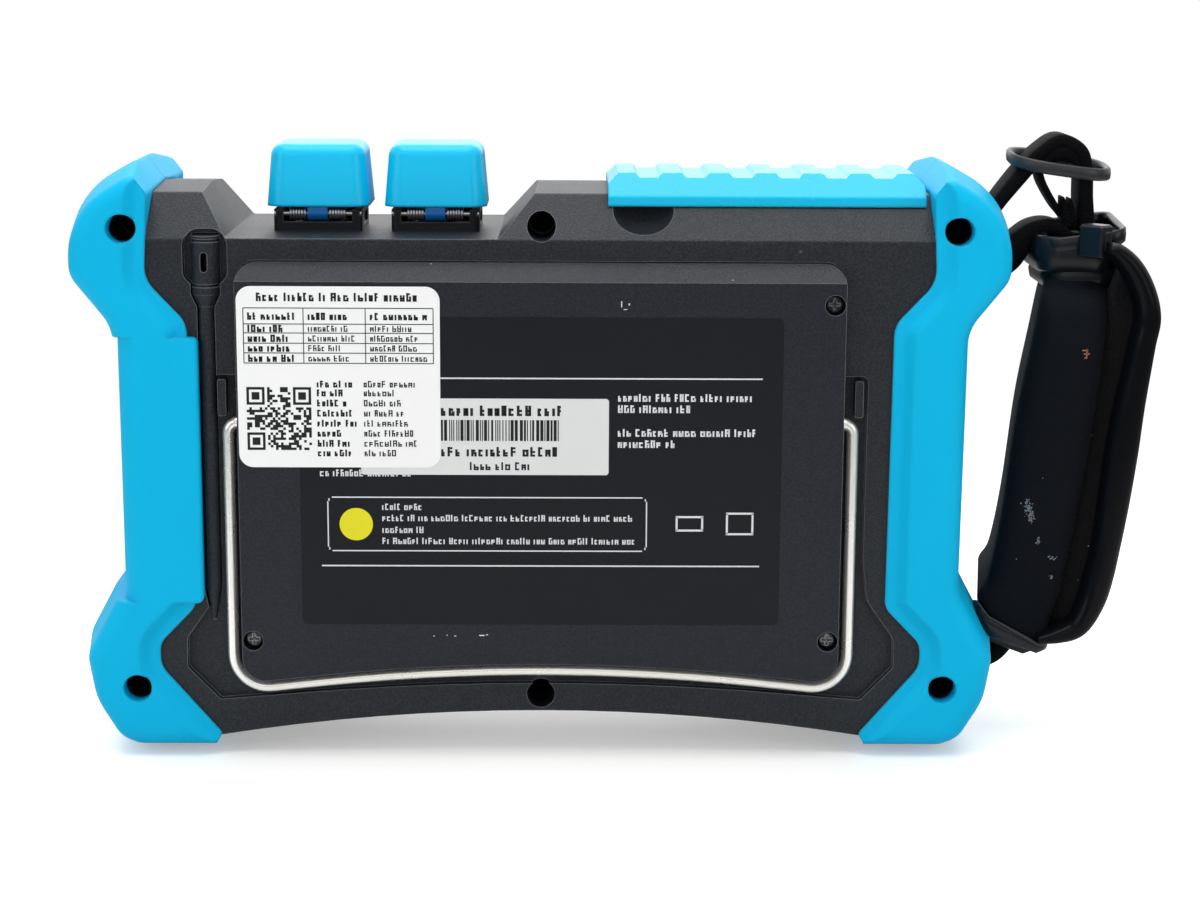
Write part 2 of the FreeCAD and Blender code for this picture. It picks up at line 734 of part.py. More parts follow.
def make_stylus():
    body = stylus_turned(0.0, 0.0)
    eye = rounded_box(stylus_x - 0.8, stylus_x + 0.8, -FAR, FAR, stylus_eye_low,
                      stylus_eye_high, 0.79)
    body = body.cut(eye)
    for z in stylus_grooves:
        groove = rod(stylus_x, stylus_y, z - 0.35, Z_AXIS, stylus_head + 1.0, 0.7)
        groove = groove.cut(rod(stylus_x, stylus_y, z - 0.35, Z_AXIS, stylus_head - 0.5, 0.7))
        body = body.cut(groove)
    return body


def make_port_frame(x):
    half = frame_size / 2
    well = half - frame_wall
    top = notch_floor + frame_height
    frame = rounded_box(x - half, x + half, port_y - half, port_y + half, notch_floor, top, 1.5, "xy")
    frame = frame.cut(rounded_box(x - well, x + well, port_y - well, port_y + well,
                                  notch_floor + frame_base, top + 1.0, 1.0, "xy"))
    gap = hinge_gap_width / 2
    frame = frame.cut(box(x - gap, x + gap, -FAR, port_y - well + 1.0, hinge_z - knuckle_radius - 0.25, FAR))
    frame = frame.cut(rod(x - half - 1.0, hinge_y, hinge_z, X_AXIS, hinge_pin_radius, frame_size + 2.0))
    frame = frame.cut(rod(x, port_y, 0, Z_AXIS, adapter_tail + tail_play, FAR))
    for side in (-1, 1):
        low, high = sorted((x + side * (half - 0.6), x + side * (half + 1.0)))
        frame = frame.cut(rounded_box(low, high, port_y - 6.0, port_y + 6.0, notch_floor + 1.2, top - 1.2,
                                      0.3))
    return frame


def make_cap(x):
    """A square dust cap: tapered sides, soft edges, hollow below, with a knuckle at the back."""
    half_w, half_d, shrink = cap_width / 2, cap_depth / 2, cap_top_shrink
    low = [(x - half_w, port_y - half_d, 4.4), (x + half_w, port_y - half_d, 4.4),
           (x + half_w, port_y + half_d, 4.4), (x - half_w, port_y + half_d, 4.4)]
    high = [(a, b, 4.0) for a, b, r in grown(low, -shrink)]
    cap = taper(low, high, "xy", cap_low, cap_high)
    rim = [e for e in cap.Edges if abs(e.BoundBox.ZMin - cap_high) < 1e-3]
    cap = cap.makeFillet(cap_edge, rim)
    inner_low = [(a, b, 2.0) for a, b, r in grown(low, -cap_skin)]
    inner_high = [(a, b, 2.0) for a, b, r in grown(high, -cap_skin)]
    cap = cap.cut(taper(inner_low, inner_high, "xy", cap_low - 0.001, cap_high - cap_skin))
    half = knuckle_width / 2
    arm = prism([(hinge_y - knuckle_radius, hinge_z, 0), (hinge_y + knuckle_radius, hinge_z, 0),
                 (hinge_y + knuckle_radius, cap_low + 1.5, 0), (port_y - half_d + 0.6, cap_low + 1.5, 0),
                 (port_y - half_d + 0.6, cap_low, 0)], "yz", x - half, x + half)
    knuckle = rod(x - half, hinge_y, hinge_z, X_AXIS, knuckle_radius, knuckle_width).fuse(arm)
    bore = rod(x - half - 1.0, hinge_y, hinge_z, X_AXIS, hinge_pin_radius + pivot_clearance,
               knuckle_width + 2.0)
    return cap.fuse(knuckle).cut(bore).removeSplitter()


def make_cap_pins():
    length = frame_size - 0.4
    return Part.makeCompound([rod(x - length / 2, hinge_y, hinge_z, X_AXIS, hinge_pin_radius, length)
                              for x in (port_left, port_right)])


def coil(x, side):
    """A close wound torsion spring on the pin, beside the knuckle."""
    start = x + side * (knuckle_width / 2 + 0.3)
    length = 2 * spring_wire * spring_turns
    low = min(start, start + side * length)
    inner = hinge_pin_radius
    edges = []
    for turn in range(spring_turns):
        a = low + 2 * spring_wire * turn
        left = Vec(a, 0, spring_radius - spring_wire)
        mid = Vec(a + spring_wire, 0, spring_radius)
        right = Vec(a + 2 * spring_wire, 0, spring_radius - spring_wire)
        edges.append(Part.Arc(left, mid, right).toShape())
    first = Vec(low, 0, spring_radius - spring_wire)
    last = Vec(low + length, 0, spring_radius - spring_wire)
    foot_a = Vec(low, 0, inner)
    foot_b = Vec(low + length, 0, inner)
    edges.append(Part.LineSegment(last, foot_b).toShape())
    edges.append(Part.LineSegment(foot_b, foot_a).toShape())
    edges.append(Part.LineSegment(foot_a, first).toShape())
    turned = Part.Face(Part.Wire(edges)).revolve(Vec(0, 0, 0), X_AXIS, 360)
    turned.translate(Vec(0, hinge_y, hinge_z))
    return turned


def make_adapter(x):
    low = notch_floor + frame_base
    half = adapter_flange / 2
    body = rounded_box(x - half, x + half, port_y - half, port_y + half, low, low + 1.6, 1.0, "xy")
    body = body.fuse(rod(x, port_y, low, Z_AXIS, adapter_barrel, adapter_top - low))
    body = body.fuse(rod(x, port_y, adapter_tail_end, Z_AXIS, adapter_tail, low - adapter_tail_end))
    well = rod(x, port_y, adapter_top - adapter_well_depth, Z_AXIS, adapter_well, adapter_well_depth)
    well = well.cut(rod(x, port_y, 0, Z_AXIS, sleeve_radius, FAR))
    body = body.cut(well)
    return body.cut(rod(x, port_y, adapter_top - ferrule_depth, Z_AXIS, ferrule_bore, ferrule_depth))


def make_port_lid():
    """The ribbed rubber lid: bevelled all round, ribbed on top, shaped to the case below."""
    section = [(lid_back, lid_edge_low, 0.4), (lid_back, lid_edge_high, 0.8),
               (lid_back + lid_bevel, lid_crest, 1.2), (lid_front - lid_bevel, lid_crest, 1.2),
               (lid_front, lid_edge_high, 0.8),
               (lid_front, lid_edge_low, 0.4)]
    low_section = [(y, min(z, lid_valley), r) for y, z, r in section]
    run = (lid_valley - lid_edge_high) / (lid_crest - lid_edge_high) * lid_bevel
    low_section[2] = (lid_back + run, lid_valley, 1.0)
    low_section[3] = (lid_front - run, lid_valley, 1.0)
    lid = prism(low_section, "yz", lid_left, lid_right)
    first = (lid_left + lid_right - (rib_count - 1) * rib_pitch) / 2
    for i in range(rib_count):
        x = first + i * rib_pitch
        crest = prism([(x - rib_foot / 2, lid_edge_high, 0), (x - rib_foot / 2, lid_valley, 0),
                       (x - rib_crest / 2, lid_crest, 0), (x + rib_crest / 2, lid_crest, 0),
                       (x + rib_foot / 2, lid_valley, 0), (x + rib_foot / 2, lid_edge_high, 0)],
                      "xz", lid_back, lid_front)
        lid = lid.fuse(crest.common(prism(section, "yz", lid_left, lid_right)))
    c = lid_end_chamfer
    for end, inward in ((lid_left, 1), (lid_right, -1)):
        wedge = prism([(end, lid_crest - c, 0), (end + inward * c, lid_crest, 0),
                       (end + inward * c, lid_crest + 5.0, 0), (end - inward * 5.0, lid_crest + 5.0, 0),
                       (end - inward * 5.0, lid_crest - c, 0)],
                      "xz", -FAR, FAR)
        lid = lid.cut(wedge)
    below = grown(top_section, lid_clearance)
    return lid.cut(prism(below, "yz", -FAR, FAR)).removeSplitter()


def make_socket(name):
    x, width, depth, height = sockets[name]
    back = socket_back - depth
    body = box(x - width / 2, x + width / 2, back, socket_back, socket_top - height, socket_top)
    middle = socket_back - depth / 2
    if name == "lan_jack":
        body = body.cut(box(x - 5.9, x + 5.9, middle - 4.2, middle + 2.8, socket_top - 12.0, FAR))
        return body.cut(box(x - 3.0, x + 3.0, middle + 2.8, middle + 4.8, socket_top - 12.0, FAR))
    if name == "usb_a_jack":
        body = body.cut(box(x - 6.4, x + 6.4, middle - 2.7, middle + 2.7, socket_top - 9.0, FAR))
        tongue = box(x - 5.6, x + 5.6, middle + 1.0, middle + 2.7, socket_top - 9.0, socket_top - 0.5)
        return body.fuse(tongue)
    if name == "usb_b_jack":
        body = body.cut(box(x - 4.4, x + 4.4, middle - 4.1, middle + 4.1, socket_top - 9.0, FAR))
        tongue = box(x - 2.8, x + 2.8, middle - 4.1, middle - 2.3, socket_top - 9.0, socket_top - 1.0)
        return body.fuse(tongue)
    body = body.cut(rod(x, middle, socket_top - 9.0, Z_AXIS, 3.2, FAR))
    return body.fuse(rod(x, middle, socket_top - 9.0, Z_AXIS, 1.0, 7.5))


def make_board():
    board = rounded_box(-board_half_width, board_half_width, board_back, board_back + board_thick,
                        board_low, board_high, 2.0)
    return board


# ---- hand strap ----
strap_y_low = 1.0
strap_y_high = 13.0
anchor_inset = 7.3
anchor_x = guard_half_width - anchor_inset
anchor_high = guard_height - 14.5
anchor_low = 22.6
anchor_radius = 1.5
anchor_reach = 2.5
web_thick = 1.6
pad_back = -19.0
pad_front = 27.0
band_back = -7.0
band_front = 19.0


def strap_pockets():
    """Slots in the right guard and shell for the strap's two anchor bars."""
    pockets = []
    for z in (anchor_high, anchor_low):
        pockets.append(box(anchor_x - 4.6, FAR, strap_y_low - 1.0, strap_y_high + 1.0, z - 4.6, z + 4.6))
        pockets.append(rod(anchor_x, strap_y_low - 1.0 - anchor_reach, z, Y_AXIS, anchor_radius,
                           strap_y_high - strap_y_low + 2.0 + 2 * anchor_reach))
    return pockets


def make_anchor_bars():
    length = strap_y_high - strap_y_low + 2.0 + 2 * anchor_reach
    start = strap_y_low - 1.0 - anchor_reach
    return Part.makeCompound([rod(anchor_x, start, z, Y_AXIS, anchor_radius, length)
                              for z in (anchor_high, anchor_low)])


def strip(points, thick, y_low, y_high):
    """A band that follows (x, z, radius) points, seen edge on, with its width along Y."""
    left, right = [], []
    count = len(points)
    for i, (x, z, radius) in enumerate(points):
        before = points[max(i - 1, 0)]
        after = points[min(i + 1, count - 1)]
        u = Vec(x - before[0], z - before[1], 0) if i > 0 else Vec(after[0] - x, after[1] - z, 0)
        w = Vec(after[0] - x, after[1] - z, 0) if i < count - 1 else Vec(x - before[0], z - before[1], 0)
        u.normalize()
        w.normalize()
        side_u, side_w = Vec(-u.y, u.x, 0), Vec(-w.y, w.x, 0)
        shift = (side_u + side_w) * (thick / 2 / (1.0 + side_u.dot(side_w)))
        bend = u.x * w.y - u.y * w.x
        inner, outer = max(radius - thick / 2, 0.2), radius + thick / 2
        if radius <= 0:
            inner = outer = 0
        left.append((x + shift.x, z + shift.y, inner if bend > 0 else outer))
        right.append((x - shift.x, z - shift.y, outer if bend > 0 else inner))
    return prism(left + right[::-1], "xz", y_low, y_high)


# the strap pieces are drawn with X counted from the outer side of the right guard
upper_web = [(2.4 - anchor_inset, anchor_high + 1.6, 0), (4.3, 144.6, 8.0), (9.1, 154.6, 5.0),
             (20.5, 154.6, 5.0), (20.5, 143.0, 40.0), (21.7, 131.0, 0)]
middle_web = [(2.7 - anchor_inset, anchor_high - 1.0, 0), (4.1, 128.4, 4.0), (8.9, 135.4, 3.0),
              (14.3, 135.6, 2.2), (14.5, 129.0, 0)]
lower_web = [(2.4 - anchor_inset, anchor_low + 0.6, 0), (7.3, 24.4, 5.0), (7.5, 33.2, 0)]
pad_outline = [(7.7, 116.9, 2.0), (4.3, 104.0, 30.0), (-0.7, 60.0, 60.0), (-2.6, 40.5, 8.0), (3.5, 33.6, 3.0),
               (11.5, 33.0, 5.0), (18.3, 60.0, 50.0), (22.1, 92.0, 60.0), (23.9, 116.9, 2.0)]
cover_pad = [(25.1, 110.0, 0), (23.4, 92.0, 60.0), (19.6, 60.0, 50.0), (13.9, 34.0, 2.0), (10.9, 27.4, 1.0),
             (20.0, 25.6, 8.0), (26.7, 38.0, 20.0), (31.9, 66.0, 60.0), (37.5, 109.0, 10.0),
             (34.1, 124.0, 4.0), (28.5, 126.5, 0), (28.5, 116.4, 0), (25.3, 116.4, 0)]
collar = (7.7, 28.0, 117.3, 128.6)
collar_wall = 1.6
clamp = (9.5, 29.1, 129.3, 133.2)
clamp_wall = 1.4
clamp_back = -9.0
head = (15.2, 24.7, 124.4, 133.2)
head_depth = 3.4
ring = (0.9, 27.4, 145.2, 148.7)
ring_wall = 1.6


def make_pad():
    """The soft hand pad: a bowed block, its neck held in the collar above."""
    pad = prism(pad_outline, "xz", pad_back, pad_front)
    x_low, x_high, z_low, z_high = collar
    inset = collar_wall + 0.1
    neck = rounded_box(x_low + inset, x_high - inset, band_back + inset, band_front - inset, 116.6, z_high,
                       4.0, "xy")
    pad = pad.fuse(neck).removeSplitter()
    return pad


def make_pad_cover():
    return prism(cover_pad, "xz", pad_back - 2.0, pad_front + 2.0)


def band(x_low, x_high, y_low, y_high, z_low, z_high, thick, radius):
    ring = rounded_box(x_low, x_high, y_low, y_high, z_low, z_high, radius, "xy")
    return ring.cut(rounded_box(x_low + thick, x_high - thick, y_low + thick, y_high - thick, z_low - 1.0,
                                z_high + 1.0, radius - thick, "xy"))


def make_strap_ties():
    """Plastic bands: a wide collar on the pad's neck, a clamp tie above it and a loose ring at the top."""
    x_low, x_high, z_low, z_high = collar
    wide = band(x_low, x_high, band_back, band_front, z_low, z_high, collar_wall, 5.6)
    x_low, x_high, z_low, z_high = clamp
    clamp_tie = band(x_low, x_high, clamp_back, strap_y_high + clamp_wall + 0.2, z_low, z_high, clamp_wall,
                     3.0)
    x_low, x_high, z_low, z_high = head
    ratchet = rounded_box(x_low, x_high, clamp_back - head_depth + 0.8, clamp_back + 0.8, z_low, z_high, 1.0,
                          "xy")
    x_low, x_high, z_low, z_high = ring
    ring_tie = band(x_low, x_high, -4.0, 18.0, z_low, z_high, ring_wall, 9.0)
    return Part.makeCompound([wide, clamp_tie.fuse(ratchet), ring_tie])


def build_nodes():
    nodes = {}
    nodes["rear_shell"] = make_rear_shell()
    nodes["front_shell"] = make_front_shell()
    nodes["shell_gasket"] = gasket_ring()
    left, right = split_guards(guard_half(True))
    left = left.cut(box(-FAR, 0, -FAR, FAR, grip_low, grip_high)).fuse(grip_face()).removeSplitter()
    nodes["guard_left_rear"] = left
    nodes["guard_right_rear"] = cut(right, strap_pockets())
    left, right = split_guards(guard_half(False))
    nodes["guard_left_front"] = left
    nodes["guard_right_front"] = cut(right, strap_pockets())
    nodes["battery_cover"] = make_battery_cover()
    nodes["battery_cover_screws"] = make_screws(cover_screw_places(), cover_back + cover_screw_sink,
                                                cover_screw_head, cover_screw_head_depth, cover_screw_shank,
                                                pocket_floor + 9.0)
    nodes["case_screws"] = make_screws(case_screw_places(), screw_seat, screw_head, screw_head_depth,
                                       screw_shank, screw_end)
    nodes["stand_wire"] = make_stand_wire()
    nodes["stand_stops"] = make_stand_stops()
    nodes["stylus"] = make_stylus()
    for side, x in (("left", port_left), ("right", port_right)):
        nodes["port_frame_" + side] = make_port_frame(x)
        nodes["optical_adapter_" + side] = make_adapter(x)
        nodes["dust_cap_" + side] = make_cap(x)
    nodes["cap_hinge_pins"] = make_cap_pins()
    coils = [coil(x, side) for x in (port_left, port_right) for side in (-1, 1)]
    nodes["cap_springs"] = Part.makeCompound(coils)
    nodes["top_port_lid"] = make_port_lid()
    for name in sockets:
        nodes[name] = make_socket(name)
    nodes["battery_pack"] = rounded_box(-bay_half_width + pack_play, bay_half_width - pack_play,
                                        pocket_floor + 0.5, bay_floor, bay_low + pack_play,
                                        bay_high - pack_play, 2.0)
    nodes["main_board"] = make_board()
    nodes["optical_module"] = box(module_left, module_right, cavity_back, module_front, module_low,
                                  adapter_tail_end)
    screen_back = rim_front - glass_thick - screen_ledge - lcd_thick
    half_w, half_h = screen_width / 2 + lcd_margin, screen_height / 2 + lcd_margin
    nodes["lcd_module"] = rounded_box(screen_x - half_w, screen_x + half_w, screen_back, cavity_front,
                                      screen_z - half_h, screen_z + half_h, 1.0)
    half_w, half_h = glass_width / 2, glass_height / 2
    nodes["touch_glass"] = rounded_box(screen_x - half_w, screen_x + half_w, rim_front - glass_thick,
                                       rim_front, screen_z - half_h, screen_z + half_h, 2.8)
    nodes["key_board"] = rounded_box(key_board_left, key_board_left + key_board_width, key_board_back,
                                     key_board_front, cavity_low + 2.0, cavity_high - 2.0, 1.0)
    for name, (x, z, half_w, half_h, radius) in keys.items():
        nodes[name] = make_key(x, z, half_w, half_h, radius)
    lights = [rod(led_x, key_board_front, z, Y_AXIS, led_radius, rim_front + 0.3 - key_board_front)
              for z in led_heights]
    nodes["led_light_guides"] = Part.makeCompound(lights)
    nodes["speaker"] = rod(key_x, key_board_front, speaker_z, Y_AXIS, speaker_radius,
                           cavity_front - key_board_front)
    film = cover_screw_x - film_inset
    nodes["legend_overlay"] = rounded_box(-film, film, cover_back - 0.1, cover_back,
                                          cover_screw_low + 4.4, cover_top - 12.7, 1.5)
    nodes["rating_label"] = rounded_box(-44.0, 16.6, cover_back - 0.2, cover_back - 0.1, 73.4, 92.4, 0.8)
    sticker_left = -cover_screw_x - 2.3
    sticker_top = cover_top - 5.3
    nodes["calibration_sticker"] = rounded_box(sticker_left, sticker_left + sticker_width, cover_back - 0.3,
                                               cover_back - 0.2, sticker_top - sticker_height, sticker_top,
                                               sticker_corner)
    strap = {
        "strap_pad": make_pad(),
        "strap_cover": make_pad_cover(),
        "strap_web_upper": strip(upper_web, web_thick, strap_y_low, strap_y_high),
        "strap_web_middle": strip(middle_web, web_thick, strap_y_low, strap_y_high),
        "strap_web_lower": strip(lower_web, web_thick, strap_y_low, strap_y_high),
        "strap_ties": make_strap_ties()}
    for name, shape in strap.items():
        shape.translate(X_AXIS * guard_half_width)
        nodes[name] = shape
    nodes["strap_anchor_bars"] = make_anchor_bars()
    return nodes


for name, shape in build_nodes().items():
    shape = solids(shape)
    report = (name, len(shape.Solids), shape.Volume, shape.isValid())
    print("%-22s solids %2d  volume %10.1f  valid %s" % report)
    shape.exportStep("parts/" + name + ".step")
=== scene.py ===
import math
import random
import bpy
from mathutils import Matrix, Vector


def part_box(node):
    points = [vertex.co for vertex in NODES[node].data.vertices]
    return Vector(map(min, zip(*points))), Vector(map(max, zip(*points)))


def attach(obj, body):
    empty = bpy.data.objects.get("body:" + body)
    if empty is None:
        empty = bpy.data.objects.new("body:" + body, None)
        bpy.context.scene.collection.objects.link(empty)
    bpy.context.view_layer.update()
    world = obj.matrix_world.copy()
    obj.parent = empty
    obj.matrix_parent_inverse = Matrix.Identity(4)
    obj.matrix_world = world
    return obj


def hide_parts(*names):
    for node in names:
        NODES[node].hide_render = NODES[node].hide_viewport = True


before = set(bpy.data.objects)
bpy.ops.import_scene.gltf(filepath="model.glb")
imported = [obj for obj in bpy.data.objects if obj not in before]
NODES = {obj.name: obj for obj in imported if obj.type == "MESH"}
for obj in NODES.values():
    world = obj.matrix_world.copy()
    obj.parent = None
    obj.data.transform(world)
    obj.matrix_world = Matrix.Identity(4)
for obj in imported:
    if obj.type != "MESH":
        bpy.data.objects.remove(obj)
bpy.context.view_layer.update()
MM = 0.001


def mm(*values):
    return Vector([v * MM for v in values])


# ---- node groups that several materials share ----
def new_group(name, inputs, outputs):
    tree = bpy.data.node_groups.new(name, "ShaderNodeTree")
    for label, kind, default in inputs:
        socket = tree.interface.new_socket(label, in_out="INPUT", socket_type=kind)
        socket.default_value = default
    for label, kind in outputs:
        tree.interface.new_socket(label, in_out="OUTPUT", socket_type=kind)
    return tree, tree.nodes.new("NodeGroupInput"), tree.nodes.new("NodeGroupOutput")


def add(tree, kind, **values):
    made = tree.nodes.new(kind)
    for key, value in values.items():
        setattr(made, key, value)
    return made


def math_node(tree, operation, a, b=None, clamp=False):
    made = add(tree, "ShaderNodeMath", operation=operation, use_clamp=clamp)
    for place, value in ((0, a), (1, b)):
        if value is None:
            continue
        if isinstance(value, (int, float)):
            made.inputs[place].default_value = value
        else:
            tree.links.new(value, made.inputs[place])
    return made.outputs[0]


def grain_group():
    """Fine moulded texture: a height for bump and a faint tone."""
    tree, before, after = new_group("moulded_grain", [("Scale", "NodeSocketFloat", 1200.0)],
                                    [("Height", "NodeSocketFloat"), ("Tone", "NodeSocketFloat")])
    place = add(tree, "ShaderNodeTexCoord")
    fine = add(tree, "ShaderNodeTexNoise")
    fine.inputs["Detail"].default_value = 3.0
    cells = add(tree, "ShaderNodeTexVoronoi")
    broad = add(tree, "ShaderNodeTexNoise")
    broad.inputs["Scale"].default_value = 28.0
    broad.inputs["Detail"].default_value = 4.0
    for texture in (fine, cells, broad):
        tree.links.new(place.outputs["Object"], texture.inputs["Vector"])
    tree.links.new(before.outputs["Scale"], fine.inputs["Scale"])
    tree.links.new(before.outputs["Scale"], cells.inputs["Scale"])
    dimples = math_node(tree, "MULTIPLY", cells.outputs["Distance"], 0.6)
    height = math_node(tree, "ADD", fine.outputs["Fac"], dimples)
    tree.links.new(height, after.inputs["Height"])
    tree.links.new(broad.outputs["Fac"], after.inputs["Tone"])
    return tree


def edge_group():
    """A mask along outer edges, from the turn between the true and the rounded normal, for painted edge
    highlights.
    """
    tree, before, after = new_group("edge_mask", [("Radius", "NodeSocketFloat", 0.0006),
                                                  ("Gain", "NodeSocketFloat", 4.0)],
                                    [("Mask", "NodeSocketFloat")])
    bevel = add(tree, "ShaderNodeBevel", samples=4)
    tree.links.new(before.outputs["Radius"], bevel.inputs["Radius"])
    surface = add(tree, "ShaderNodeNewGeometry")
    dot = add(tree, "ShaderNodeVectorMath", operation="DOT_PRODUCT")
    tree.links.new(bevel.outputs["Normal"], dot.inputs[0])
    tree.links.new(surface.outputs["Normal"], dot.inputs[1])
    turn = math_node(tree, "SUBTRACT", 1.0, dot.outputs["Value"], clamp=True)
    mask = math_node(tree, "MULTIPLY", turn, before.outputs["Gain"], clamp=True)
    tree.links.new(mask, after.inputs["Mask"])
    return tree


def smudge_group():
    """Broad faint marks of handling, for roughness."""
    tree, before, after = new_group("smudges", [("Scale", "NodeSocketFloat", 22.0)],
                                    [("Mask", "NodeSocketFloat")])
    place = add(tree, "ShaderNodeTexCoord")
    noise = add(tree, "ShaderNodeTexNoise")
    noise.inputs["Detail"].default_value = 6.0
    noise.inputs["Roughness"].default_value = 0.65
    tree.links.new(place.outputs["Object"], noise.inputs["Vector"])
    tree.links.new(before.outputs["Scale"], noise.inputs["Scale"])
    spread = add(tree, "ShaderNodeMapRange")
    spread.inputs["From Min"].default_value = 0.42
    spread.inputs["From Max"].default_value = 0.72
    tree.links.new(noise.outputs["Fac"], spread.inputs["Value"])
    tree.links.new(spread.outputs["Result"], after.inputs["Mask"])
    return tree


def weave_group():
    """Threads along all three axes, and the short fuzz that stands on them."""
    tree, before, after = new_group("weave", [("Pitch", "NodeSocketFloat", 1.0)],
                                    [("Height", "NodeSocketFloat"), ("Fuzz", "NodeSocketFloat")])
    place = add(tree, "ShaderNodeTexCoord")
    waves = []
    for turn in ((0.0, 0.0, 0.0), (0.0, 0.0, math.pi / 2), (0.0, math.pi / 2, 0.0)):
        rotate = add(tree, "ShaderNodeMapping")
        rotate.inputs["Rotation"].default_value = turn
        wave = add(tree, "ShaderNodeTexWave")
        wave.inputs["Distortion"].default_value = 1.2
        wave.inputs["Detail"].default_value = 2.0
        tree.links.new(place.outputs["Object"], rotate.inputs["Vector"])
        tree.links.new(rotate.outputs["Vector"], wave.inputs["Vector"])
        tree.links.new(before.outputs["Pitch"], wave.inputs["Scale"])
        waves.append(wave.outputs["Fac"])
    crossed = math_node(tree, "ADD", math_node(tree, "ADD", waves[0], waves[1]), waves[2])
    height = math_node(tree, "MULTIPLY", crossed, 0.33)
    fuzz = add(tree, "ShaderNodeTexNoise")
    fuzz.inputs["Scale"].default_value = 2400.0
    fuzz.inputs["Detail"].default_value = 4.0
    tree.links.new(place.outputs["Object"], fuzz.inputs["Vector"])
    tree.links.new(height, after.inputs["Height"])
    tree.links.new(fuzz.outputs["Fac"], after.inputs["Fuzz"])
    return tree


def specks_group():
    """Sparse tiny pale specks of dust and wear."""
    tree, before, after = new_group("specks", [("Scale", "NodeSocketFloat", 160.0),
                                               ("Share", "NodeSocketFloat", 0.9)],
                                    [("Mask", "NodeSocketFloat")])
    place = add(tree, "ShaderNodeTexCoord")
    cells = add(tree, "ShaderNodeTexVoronoi")
    tree.links.new(place.outputs["Object"], cells.inputs["Vector"])
    tree.links.new(before.outputs["Scale"], cells.inputs["Scale"])
    near = math_node(tree, "LESS_THAN", cells.outputs["Distance"], 0.07)
    pick = add(tree, "ShaderNodeSeparateColor")
    tree.links.new(cells.outputs["Color"], pick.inputs["Color"])
    chosen = add(tree, "ShaderNodeMath", operation="GREATER_THAN")
    tree.links.new(pick.outputs["Red"], chosen.inputs[0])
    tree.links.new(before.outputs["Share"], chosen.inputs[1])
    tree.links.new(math_node(tree, "MULTIPLY", near, chosen.outputs[0]), after.inputs["Mask"])
    return tree


GRAIN = grain_group()
SPECKS = specks_group()
EDGE = edge_group()
SMUDGE = smudge_group()
WEAVE = weave_group()


def group_node(tree, group, **values):
    made = add(tree, "ShaderNodeGroup", node_tree=group)
    for key, value in values.items():
        made.inputs[key].default_value = value
    return made


def blend_color(tree, share, low, high, under=None, over=None):
    """A colour from low to high by share; one already made goes in for low (under) or for high (over)."""
    mix = add(tree, "ShaderNodeMix", data_type="RGBA")
    mix.inputs["A"].default_value = (*low, 1.0)
    mix.inputs["B"].default_value = (*[min(1.0, c) for c in high], 1.0)
    tree.links.new(share, mix.inputs["Factor"])
    if under:
        tree.links.new(under, mix.inputs["A"])
    if over:
        tree.links.new(over, mix.inputs["B"])
    return mix.outputs["Result"]


